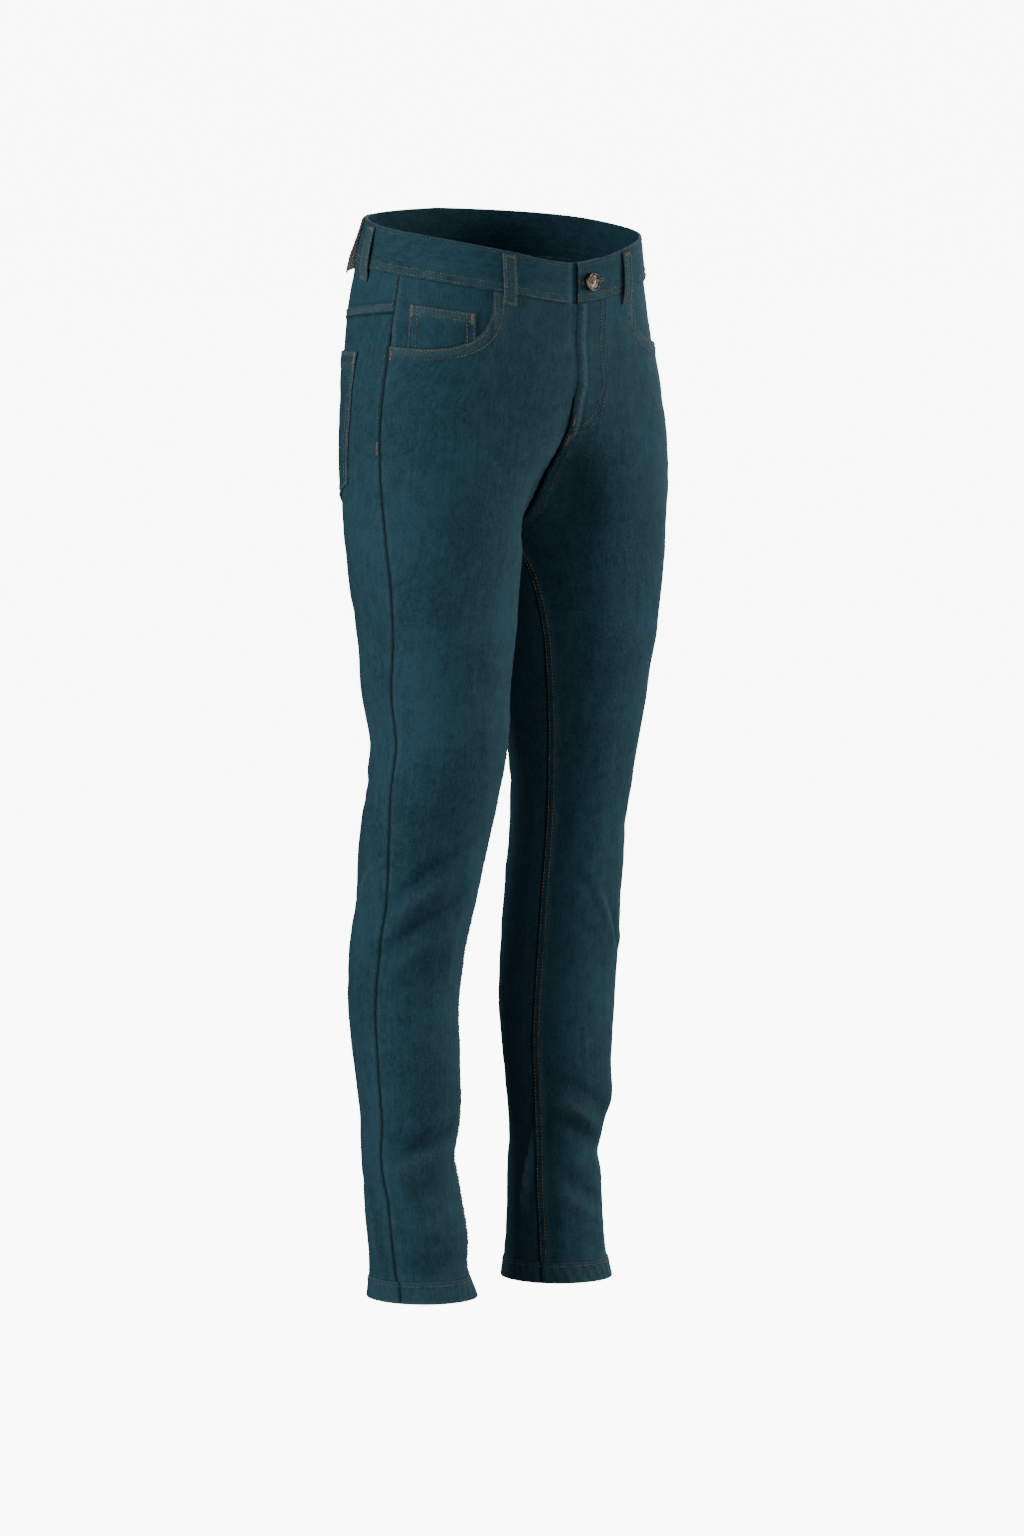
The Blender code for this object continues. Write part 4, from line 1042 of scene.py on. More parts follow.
def thread_tree() -> bpy.types.NodeTree:
    """The Geometry Nodes tree that lays stitches along the edges of a mesh.

    Returns:
        The tree, with inputs Pitch, Length, Thickness, Turn, Wander, Seed and Thread.
    """
    tree = bpy.data.node_groups.new("sewn_line", "GeometryNodeTree")
    face = tree.interface
    face.new_socket("Line", in_out="INPUT", socket_type="NodeSocketGeometry")
    for word in ("Pitch", "Length", "Thickness", "Turn", "Wander"):
        face.new_socket(word, in_out="INPUT", socket_type="NodeSocketFloat")
    face.new_socket("Seed", in_out="INPUT", socket_type="NodeSocketInt")
    face.new_socket("Thread", in_out="INPUT", socket_type="NodeSocketMaterial")
    face.new_socket("Stitches", in_out="OUTPUT", socket_type="NodeSocketGeometry")
    graph = NodeGraph(tree)
    given = tree.nodes.new("NodeGroupInput").outputs
    curve = graph.add("GeometryNodeMeshToCurve", Mesh=given["Line"])
    even = graph.add("GeometryNodeResampleCurve", {"mode": "LENGTH"}, Curve=curve.outputs[0], Length=given["Pitch"])
    grain = graph.add("GeometryNodeMeshUVSphere", Segments=6, Rings=4, Radius=0.5)
    tangent = graph.add("GeometryNodeInputTangent")
    out = graph.add("GeometryNodeInputNamedAttribute", {"data_type": "FLOAT_VECTOR"}, Name="out")
    along = graph.add("FunctionNodeAlignRotationToVector", {"axis": "X"}, Vector=tangent.outputs[0])
    upright = graph.add(
        "FunctionNodeAlignRotationToVector",
        {"axis": "Z", "pivot_axis": "X"},
        Rotation=along.outputs[0],
        Vector=out.outputs[0],
    )
    low = graph.math("MULTIPLY", given["Wander"], -1.0)
    chance = graph.add(
        "FunctionNodeRandomValue", {"data_type": "FLOAT"}, Min=low, Max=given["Wander"], Seed=given["Seed"]
    )
    yaw = graph.math("ADD", given["Turn"], next(s for s in chance.outputs if s.enabled))
    swing = graph.add("FunctionNodeAxisAngleToRotation", Axis=(0.0, 0.0, 1.0), Angle=yaw)
    turned = graph.add(
        "FunctionNodeRotateRotation",
        {"rotation_space": "LOCAL"},
        Rotation=upright.outputs[0],
        Rotate_By=swing.outputs[0],
    )
    size = graph.add("ShaderNodeCombineXYZ", X=given["Length"], Y=given["Thickness"], Z=given["Thickness"])
    laid = graph.add(
        "GeometryNodeInstanceOnPoints",
        Points=even.outputs[0],
        Instance=grain.outputs[0],
        Rotation=turned.outputs[0],
        Scale=size.outputs[0],
    )
    real = graph.add("GeometryNodeRealizeInstances", Geometry=laid.outputs[0])
    soft = graph.add("GeometryNodeSetShadeSmooth", Geometry=real.outputs[0])
    coloured = graph.add("GeometryNodeSetMaterial", Geometry=soft.outputs[0], Material=given["Thread"])
    end = tree.nodes.new("NodeGroupOutput")
    tree.links.new(coloured.outputs[0], end.inputs["Stitches"])
    return tree


def run_tree(name: str, mesh: bpy.types.Mesh, tree: bpy.types.NodeTree, inputs: dict[str, object]) -> bpy.types.Object:
    """Runs a Geometry Nodes tree on a mesh and keeps the result as a plain mesh.

    Args:
        name: The finished piece's name.
        mesh: What the tree works on.
        tree: The tree.
        inputs: Its named inputs.

    Returns:
        The finished piece, with no modifier.
    """
    guide = bpy.data.objects.new(f"{name}_guide", mesh)
    bpy.context.scene.collection.objects.link(guide)
    modifier = guide.modifiers.new("nodes", "NODES")
    modifier.node_group = tree
    for item in tree.interface.items_tree:
        if item.in_out == "INPUT" and item.name in inputs:
            modifier[item.identifier] = inputs[item.name]
    seen = guide.evaluated_get(bpy.context.evaluated_depsgraph_get())
    made = bpy.data.meshes.new_from_object(seen)
    bpy.data.objects.remove(guide)
    piece = bpy.data.objects.new(name, made)
    bpy.context.scene.collection.objects.link(piece)
    return piece


@dataclass
class SewingBox:
    """Collects lines of sewing, and lays the stitches of each group as one piece."""

    threads: dict[ThreadKind, Material]
    groups: dict[tuple[str, Stitch, ThreadKind], list[Row]] = field(default_factory=dict)

    def sew(self, group: str, stitch: Stitch, thread: ThreadKind, *rows: Row) -> None:
        """Adds lines of one stitch and thread to a group."""
        self.groups.setdefault((group, stitch, thread), []).extend(rows)

    def build(self) -> None:
        """Makes one piece for each group."""
        tree = thread_tree()
        for seed, ((group, stitch, thread), rows) in enumerate(self.groups.items()):
            mesh = self.guide_mesh(rows)
            inputs = {
                "Pitch": stitch.pitch,
                "Length": stitch.length,
                "Thickness": stitch.thickness,
                "Turn": stitch.turn,
                "Wander": stitch.wander,
                "Seed": seed,
                "Thread": self.threads[thread].material,
            }
            piece = run_tree(f"{group}_{stitch.name}_{thread.value}", mesh, tree, inputs)
            dress(piece, self.threads[thread])

    def guide_mesh(self, rows: Sequence[Row]) -> bpy.types.Mesh:
        """A mesh of edges along the lines, with the outward direction at each point."""
        points = np.concatenate([row.points for row in rows])
        outs = np.concatenate([row.outs for row in rows])
        edges = []
        first = 0
        for row in rows:
            edges.extend((first + i, first + i + 1) for i in range(len(row.points) - 1))
            first += len(row.points)
        mesh = bpy.data.meshes.new("sewing_guide")
        mesh.from_pydata(points.tolist(), edges, [])
        mesh.attributes.new("out", "FLOAT_VECTOR", "POINT").data.foreach_set("vector", outs.ravel())
        return mesh


@dataclass
class Workroom:
    """What every piece needs: the form, the finishes and the sewing box."""

    form: JeansForm
    denim: Material
    leather: Material
    brass: Material
    tape: Material
    sewing: SewingBox

    def lay(
        self,
        name: str,
        side: Side,
        angle: Array,
        level: Array,
        height: Array,
        wall: float,
        wear: Array,
        closed: bool = False,
        drop: Array | float = 0.0,
        rise_edge: int | None = None,
    ) -> Shell:
        """Lays a wall of cloth on the form.

        Args:
            name: The piece's name.
            side: The side whose axis its angles go round.
            angle: The angle of each point.
            level: The level of each point.
            height: How far its outer face stands above the form.
            wall: Its thickness.
            wear: From -1 to 1 at each point: above 0 worn and paler, with painted highlights on crease ridges and the
                lap's edge; below 0 painted shade in seams, crease troughs and grooves.
            closed: Whether its rows are closed rings.
            drop: How far the outer face falls away at rounded edges.
            rise_edge: The column by the rise, whose inner points keep to their own half.

        Returns:
            The shell, not yet built.
        """
        angle, level, height, wear = np.broadcast_arrays(angle, level, height, wear)
        outer = self.form.raised(side, angle, level, height - drop)
        inner = self.form.raised(side, angle, level, height - wall)
        if rise_edge is not None:
            on_rise = level[:, rise_edge] >= self.form.crotch[side] - SEAM_GAP / 10
            inner[on_rise, rise_edge, 0] = outer[on_rise, rise_edge, 0]
        return Shell(name, outer, inner, grain_of(outer, level), np.array(wear), closed)

    def finish_cloth(self, shell: Shell, node: str, held: str, rests_on: Sequence[str] = ()) -> bpy.types.Object:
        """Builds a piece of denim, logs its cut and puts it in its node's place.

        Args:
            shell: The piece.
            node: The node that it replaces.
            held: Not used.
            rests_on: Not used.

        Returns:
            The finished piece.
        """
        width, length, area = shell.flat_size()
        piece = shell.build()
        dress(piece, self.denim, (node,))
        LOG.info("%s: cut %.3f by %.3f m, %.4f square metres", piece.name, width, length, area)
        return piece


def mouth_level(angle: Array, seam: Array, grow: float = 0.0, grow_angle: float = 0.0) -> Array:
    """The curved edge of the hand pocket, or a line that runs outside it.

    Args:
        angle: Where to read the line.
        seam: The side seam's angle.
        grow: How far the line lies outside the edge at its foot, in metres.
        grow_angle: How far it lies outside at its inner end, in degrees.

    Returns:
        The level at each angle.
    """
    share = np.clip((angle - seam) / (POCKET_MOUTH_ANGLE + grow_angle - seam), 0.0, 1.0)
    curve = (1 - share**POCKET_MOUTH_EXPONENT) ** (1 / POCKET_MOUTH_EXPONENT)
    return WAIST_SEAM - (POCKET_MOUTH_DROP + grow) * curve


def yoke_level(share: Array) -> Array:
    """The yoke seam, from the centre back (0) to the side seam (1)."""
    return YOKE_AT_CENTRE + (YOKE_AT_SIDE - YOKE_AT_CENTRE) * share


@dataclass
class Panel:
    """What fronts, backs and yokes share: the seam relief, and the worn places and painted shade along their edges."""

    room: Workroom
    side: Side
    facing: Facing
    kind: EdgeKind
    pucker_pitch: float = 0.0125
    pucker_height: float = 0.00028
    fell_width: float = 0.0095
    fell_height: float = 0.0007
    roll: float = 0.0009
    roll_width: float = 0.0015
    # How strongly the fine creases are painted: lighter on their ridges as a painted highlight, darker in their
    # troughs as painted shade.
    crease_wear: float = 110.0

    def seam_distance(self, angle: Array, level: Array) -> Array:
        """Distance from the side seam, along the cloth."""
        turn = np.abs(angle - self.room.form.side_seam(level))
        return np.radians(turn) * self.room.form.leg_radius(self.side, angle, level)

    def edge_distance(self, angle: Array, level: Array) -> Array:
        """Distance from the panel's inner edge, the rise or the inseam."""
        form = self.room.form
        edge = form.inner_edge(self.side, self.facing, self.kind, level)
        return np.radians(np.abs(edge - angle)) * form.leg_radius(self.side, angle, level)

    def relief(self, angle: Array, level: Array) -> Array:
        """Puckers and rolled edges by the seams, and the cloth's soft unevenness."""
        across = np.radians(angle) * 0.08
        soft = Undulation(0.050, 0.00022, 11).at(across, level)
        soft = soft + Undulation(0.021, 0.00010, 12).at(across, level)
        by_inseam = ease((TURN / 2 - np.abs(angle)) / 25.0)
        side_gap = self.seam_distance(angle, level)
        inner_gap = self.edge_distance(angle, level)
        swing = Undulation(0.09, 1.1, 31).at(across * 0, level)
        wave = np.sin(2 * math.pi * level / self.pucker_pitch + swing)
        second_wave = np.sin(2 * math.pi * level / (self.pucker_pitch * 0.83) + 1.7 * swing)
        pucker = wave * hill(side_gap, 0.010) + second_wave * hill(inner_gap - 0.005, 0.010)
        rolled = hill(side_gap, self.roll_width) + hill(inner_gap, self.roll_width)
        return soft * by_inseam + self.pucker_height * pucker - self.roll * rolled

    def wear_by_seams(self, angle: Array, level: Array) -> Array:
        """Painted shade in the side seam and the inner seam, faint paler worn ridges beside them, and painted
        highlights and shade on the fine creases.
        """
        across = np.radians(angle) * 0.08
        uneven = 0.7 + 0.3 * Undulation(0.030, 0.7, 51).at(across, level)
        side_gap = self.seam_distance(angle, level)
        inner_gap = self.edge_distance(angle, level)
        ridge = 0.26 * hill(side_gap - 0.0040, 0.0022)
        ridge = ridge + 0.34 * hill(inner_gap - self.fell_width, 0.0030)
        # Painted shade in the recesses of the side seam and the inner seam.
        dark = hill(side_gap, 0.0016) + 0.8 * hill(inner_gap, 0.0015)
        form = self.room.form
        radius = form.leg_radius(self.side, angle, level)
        # Painted highlights on the fine creases' ridges and painted shade in their troughs.
        creased = self.crease_wear * form.crease_height(self.side, angle, level, radius, FINE_CREASES)
        return np.clip(ridge * uneven, 0.0, 1.0) + np.clip(creased, -0.30, 0.42) - dark


@dataclass
class FrontPanel(Panel):
    """A front, cut away at the hand pocket; the left one laps over the fly."""

    facing: Facing = Facing.FRONT
    kind: EdgeKind = EdgeKind.LAP
    columns_before_mouth: int = 24
    columns_on_mouth: int = 26
    mouth_fold: float = 0.009
    second_row: float = 0.0105
    fly_stitch_reach: float = 0.0365
    fly_row_gap: float = 0.0068
    fly_turn_level: float = -0.140
    fly_turn_depth: float = 0.052
    inseam_rows: tuple[float, float] = (0.0022, 0.0070)
    lap_puff_inset: float = 0.0034
    lap_puff_width: float = 0.0022
    lap_puff_height: float = 0.0011
    lap_groove_inset: float = 0.0074

    def mouth_distance(self, angle: Array, level: Array) -> Array:
        """Roughly how far a place lies outside the pocket's edge."""
        seam = self.room.form.side_seam(level)
        across = np.clip((angle - seam) / (POCKET_MOUTH_ANGLE - seam), 0.0, None)
        down = np.clip((WAIST_SEAM - level) / POCKET_MOUTH_DROP, 0.0, None)
        power = POCKET_MOUTH_EXPONENT
        return ((across**power + down**power) ** (1 / power) - 1) * 0.078

    def height(self, angle: Array, level: Array) -> Array:
        """How far the front's outer face stands above the form."""
        relief = self.relief(angle, level)
        mouth = self.mouth_distance(angle, level)
        folded = 0.0005 * ease(1 - (mouth - self.mouth_fold) / 0.003)
        run = np.radians(angle) * 0.105 + level
        folded = folded + 0.00034 * np.sin(2 * math.pi * run / 0.0074) * hill(mouth - 0.006, 0.0045)
        inner_gap = self.edge_distance(angle, level)
        felled = ease((self.fell_width - inner_gap) / 0.0015) * ease((self.room.form.crotch[self.side] - level) / 0.01)
        total = relief + folded + self.fell_height * felled
        if self.side is Side.LEFT:
            x = self.room.form.surface(self.side, angle, level)[..., 0]
            along = ease(1 - (x - LAP_PLATEAU_X) / LAP_EASE_X)
            total = total + LAP_LIFT * along * ease((level - LAP_END) / FLY_EASE)
            puff = hill(inner_gap - self.lap_puff_inset, self.lap_puff_width)
            puff = puff - 0.6 * hill(inner_gap - self.lap_groove_inset, 0.0013)
            total = total + self.lap_puff_height * puff * ease((level - LAP_END) / FLY_EASE)
        return total

    def places(self) -> tuple[Array, Array]:
        """The angle and level of each point of the front."""
        form = self.room.form
        levels = form.panel_levels(self.side, WAIST_SEAM)
        edge = form.inner_edge(self.side, self.facing, self.kind, levels)
        seam = form.side_seam(levels) + form.gap_angle(self.side, levels)
        mouth_share = (edge[0] - POCKET_MOUTH_ANGLE) / (edge[0] - seam[0])
        by_edge = np.concatenate([[0.0, 0.004, 0.009], np.linspace(0.016, 0.12, 11)[:-1]])
        flat = np.concatenate([by_edge, np.linspace(0.12, 1, self.columns_before_mouth)])
        turn = np.linspace(math.pi / 2, 0.06, self.columns_on_mouth)[1:]
        turn = np.concatenate([turn, [0.03, 0.015, 0.006, 0.002, 0.0005, 0.0]])
        on_mouth = 1 - np.sin(turn) ** (2 / POCKET_MOUTH_EXPONENT)
        shares = np.concatenate([mouth_share * flat, mouth_share + (1 - mouth_share) * on_mouth])
        angle = edge[0] + (seam[0] - edge[0]) * shares
        cut = np.where(shares > mouth_share, mouth_level(angle, seam[0]), WAIST_SEAM)
        settled = levels <= SETTLED_LEVEL
        row_share = np.where(settled, 1.0, (levels - WAIST_SEAM) / (SETTLED_LEVEL - WAIST_SEAM))[:, None]
        level = np.where(settled[:, None], levels[:, None], cut + (SETTLED_LEVEL - cut) * row_share)
        edge = form.inner_edge(self.side, self.facing, self.kind, level)
        seam = form.side_seam(level) + form.gap_angle(self.side, level)
        even = edged_shares(len(shares) - 8, 0.03)
        settle = ease((SETTLED_LEVEL - level) / 0.12)
        shares = shares + (even - shares) * settle
        return edge + (seam - edge) * shares, level

    def make(self) -> None:
        """Builds the front and sews its pocket edge, fly, seams and rise."""
        angle, level = self.places()
        mouth = self.mouth_distance(angle, level)
        wear = self.wear_by_seams(angle, level) + 0.80 * hill(mouth - 0.001, 0.0022)
        wear = wear + 0.42 * hill(mouth - 0.006, 0.0048)
        if self.side is Side.LEFT:
            inner_gap = self.edge_distance(angle, level)
            # Pale worn strip with a painted highlight on the lap's puffed edge, and painted shade in the groove beside
            # it.
            lap = 0.62 * hill(inner_gap - self.lap_puff_inset, self.lap_puff_width)
            lap = lap - 0.30 * hill(inner_gap - self.lap_groove_inset, 0.0013)
            wear = np.where(level > LAP_END, np.maximum(wear, 0.0) + lap, wear)
        wear = np.clip(wear, -1.0, 1.0)
        name = f"front_{self.side.word}"
        shell = self.room.lay(
            f"{name}_cloth", self.side, angle, level, self.height(angle, level), DENIM_WALL, wear, rise_edge=0
        )
        self.room.finish_cloth(shell, name, "hung", ["waistband_cloth"])
        self.sew_pocket(name)
        self.sew_inseam(name)
        self.sew_rise(name)

    def row(self, angle: Array, level: Array) -> Row:
        """A line of sewing on this front."""
        return self.room.form.row(self.side, angle, level, self.height(angle, level) + THREAD_LIFT)

    def sew_pocket(self, name: str) -> None:
        """Two rows along the pocket's edge and a bartack at each end."""
        form = self.room.form
        seam = float(form.side_seam(np.array(-0.10)))
        for outside in (0.0020, self.second_row):
            grow_angle = math.degrees(outside / 0.105)
            turn = np.linspace(0.02, math.pi / 2 - 0.02, 60)
            share = np.sin(turn) ** (2 / POCKET_MOUTH_EXPONENT)
            angle = seam + 1.0 + (POCKET_MOUTH_ANGLE + grow_angle - seam - 1.0) * share
            level = mouth_level(angle, seam, outside, grow_angle)
            keep = level < WAIST_SEAM - 0.002
            self.room.sewing.sew(name, TOPSTITCH, ThreadKind.BROWN, self.row(angle[keep], level[keep]))
        foot = WAIST_SEAM - POCKET_MOUTH_DROP
        tack = np.linspace(foot - 0.001, foot - 0.0125, 4)
        self.room.sewing.sew(name, BARTACK, ThreadKind.TAN, self.row(form.side_seam(tack) + 2.2, tack))

    def sew_inseam(self, name: str) -> None:
        """Two rows down the felled inseam."""
        form = self.room.form
        level = np.linspace(form.crotch[self.side] - 0.006, HEM_SEAM + 0.002, 260)
        edge = form.inner_edge(self.side, self.facing, self.kind, level)
        radius = form.leg_radius(self.side, edge, level)
        for inset in self.inseam_rows:
            angle = edge - np.degrees(inset / radius)
            self.room.sewing.sew(name, TOPSTITCH, ThreadKind.OLIVE, self.row(angle, level))

    def sew_rise(self, name: str) -> None:
        """The fly's edge row and its double curved row, then the rise's rows down to the crotch."""
        if self.side is Side.RIGHT:
            return
        form = self.room.form
        edge_level = np.linspace(WAIST_SEAM - 0.003, form.crotch[self.side] + 0.012, 110)
        reach = form.fly_reach(self.kind, edge_level)
        for inset in (0.0020, 0.0078):
            keep = edge_level < LAP_END + 0.008
            level = edge_level[keep]
            angle = form.angle_at_x(self.side, level, reach[keep] + inset, self.facing)
            self.room.sewing.sew(name, TOPSTITCH, ThreadKind.BROWN, self.row(angle, level))
        for inward in (0.0, self.fly_row_gap):
            straight = np.linspace(WAIST_SEAM - 0.003, self.fly_turn_level, 40)
            turn = np.linspace(0, math.pi / 2, 30)[1:]
            depth = self.fly_turn_depth - inward
            level = np.concatenate([straight, self.fly_turn_level - depth * np.sin(turn)])
            out = (self.fly_stitch_reach - inward) * np.concatenate([np.ones(40), np.cos(turn)])
            x = form.fly_reach(self.kind, level) + np.maximum(out, 0.0005)
            angle = form.angle_at_x(self.side, level, x, self.facing)
            self.room.sewing.sew(name, TOPSTITCH, ThreadKind.BROWN, self.row(angle, level))
        for top, bottom in ((-0.170, -0.181), (-0.192, -0.203)):
            level = np.linspace(top, bottom, 5)
            angle = form.angle_at_x(self.side, level, form.fly_reach(self.kind, level) + 0.0024, self.facing)
            self.room.sewing.sew(name, BARTACK, ThreadKind.TAN, self.row(angle, level))


@dataclass
class BackPanel(Panel):
    """A back, from the yoke seam to the hem."""

    facing: Facing = Facing.BACK
    kind: EdgeKind = EdgeKind.PLAIN
    seam_row: float = 0.0030
    seam_row_end: float = -0.212

    def height(self, angle: Array, level: Array) -> Array:
        """How far the back's outer face stands above the form."""
        return self.relief(angle, level) + self.fell(angle, level)

    def fell(self, angle: Array, level: Array) -> Array:
        """The raised felled seams above the yoke seam and along the centre back."""
        form = self.room.form
        edge = form.inner_edge(self.side, self.facing, self.kind, level)
        share = (angle - edge) / (form.side_seam(level) - edge)
        above_seam = level - yoke_level(share)
        yoke_fell = ease((0.0098 - above_seam) / 0.0015) * ease((above_seam + 0.0002) / 0.0002)
        rise_gap = self.edge_distance(angle, level)
        rise_fell = ease((self.fell_width - rise_gap) / 0.0015) * (level > form.crotch[self.side])
        by_side = self.side is Side.LEFT
        return self.fell_height * np.maximum(yoke_fell, rise_fell * (1.0 if by_side else 0.0))

    def places(self) -> tuple[Array, Array]:
        """The angle and level of each point of the back."""
        form = self.room.form
        levels = form.panel_levels(self.side, YOKE_AT_SIDE)
        shares = edged_shares(PANEL_COLUMNS, 0.03)
        cut = yoke_level(shares) - SEAM_GAP
        settled = levels <= SETTLED_LEVEL
        row_share = np.where(settled, 1.0, (levels - levels[0]) / (SETTLED_LEVEL - levels[0]))[:, None]
        level = np.where(settled[:, None], levels[:, None], cut + (SETTLED_LEVEL - cut) * row_share)
        edge = form.inner_edge(self.side, self.facing, self.kind, level)
        seam = form.side_seam(level) - form.gap_angle(self.side, level)
        return edge + (seam - edge) * shares, level

    def wear(self, angle: Array, level: Array) -> Array:
        """How worn the back is by its seams and on the strip that is sewn down at the yoke, with painted shade in its
        seams and painted shadow lines at the yoke seam and below the strip.
        """
        edge = self.room.form.inner_edge(self.side, self.facing, self.kind, level)
        share = (angle - edge) / (self.room.form.side_seam(level) - edge)
        above_seam = level - yoke_level(share)
        strip = 0.44 * hill(above_seam - 0.0050, 0.0040)
        # Painted shadow lines at the yoke seam and along the foot of the felled strip.
        dark = 0.9 * hill(above_seam, 0.0013) + 0.45 * hill(above_seam - 0.0104, 0.0012)
        return np.clip(self.wear_by_seams(angle, level) + strip - dark, -1.0, 1.0)

    def make(self) -> None:
        """Builds the back and sews its side seam, yoke seam and rise."""
        angle, level = self.places()
        name = f"back_{self.side.word}"
        shell = self.room.lay(
            f"{name}_cloth",
            self.side,
            angle,
            level,
            self.height(angle, level),
            DENIM_WALL,
            self.wear(angle, level),
            rise_edge=0,
        )
        self.room.finish_cloth(shell, name, "hung", [f"yoke_{self.side.word}_cloth"])
        self.sew(name)

    def row(self, angle: Array, level: Array) -> Row:
        """A line of sewing on this back."""
        return self.room.form.row(self.side, angle, level, self.height(angle, level) + THREAD_LIFT)

    def sew(self, name: str) -> None:
        """The row behind the side seam with its bartack, and the rise's rows."""
        form = self.room.form
        sewing = self.room.sewing
        level = np.linspace(YOKE_AT_SIDE - 0.004, self.seam_row_end, 70)
        inset = np.degrees(self.seam_row / form.radius(self.side, 10.0, level))
        angle = form.side_seam(level) - inset
        sewing.sew(name, TOPSTITCH, ThreadKind.TEAL, self.row(angle, level))
        tack = np.linspace(self.seam_row_end + 0.012, self.seam_row_end, 5)
        tack_angle = form.side_seam(tack) - np.degrees(0.0028 / form.radius(self.side, 10.0, tack))
        sewing.sew(name, BARTACK, ThreadKind.TAN, self.row(tack_angle, tack))
        if self.side is Side.LEFT:
            level = np.linspace(YOKE_AT_CENTRE - 0.006, form.crotch[self.side] + 0.010, 80)
            for inset in (0.0020, 0.0080):
                angle = form.angle_at_x(self.side, level, SEAM_GAP / 2 + inset, self.facing)
                sewing.sew(name, TOPSTITCH, ThreadKind.BROWN, self.row(angle, level))


@dataclass
class Yoke(BackPanel):
    """The shaped strip between the waist seam and the back."""

    rows: int = 36

    def height(self, angle: Array, level: Array) -> Array:
        """How far the yoke's outer face stands above the form."""
        return self.relief(angle, level) + self.fell(angle, level)

    def make(self) -> None:
        """Builds the yoke and sews its lower edge."""
        form = self.room.form
        shares = edged_shares(PANEL_COLUMNS, 0.03)
        down = edged_shares(self.rows, 0.06)[:, None]
        level = WAIST_SEAM + (yoke_level(shares) - WAIST_SEAM) * down
        edge = form.inner_edge(self.side, self.facing, self.kind, level)
        seam = form.side_seam(level) - form.gap_angle(self.side, level)
        angle = edge + (seam - edge) * shares
        name = f"yoke_{self.side.word}"
        wear = self.wear(angle, level)
        shell = self.room.lay(
            f"{name}_cloth", self.side, angle, level, self.height(angle, level), DENIM_WALL, wear, rise_edge=0
        )
        self.room.finish_cloth(shell, name, "hung", ["waistband_cloth"])
        share = np.linspace(0.01, 0.985, 80)
        for above in (0.0024, 0.0082):
            level = yoke_level(share) + above
            edge = form.inner_edge(self.side, self.facing, self.kind, level)
            angle = edge + (form.side_seam(level) - edge) * share
            self.room.sewing.sew(name, TOPSTITCH, ThreadKind.BROWN, self.row(angle, level))
        level = np.linspace(WAIST_SEAM - 0.003, YOKE_AT_SIDE + 0.002, 12)
        inset = np.degrees(self.seam_row / form.radius(self.side, 10.0, level))
        self.room.sewing.sew(name, TOPSTITCH, ThreadKind.TEAL, self.row(form.side_seam(level) - inset, level))


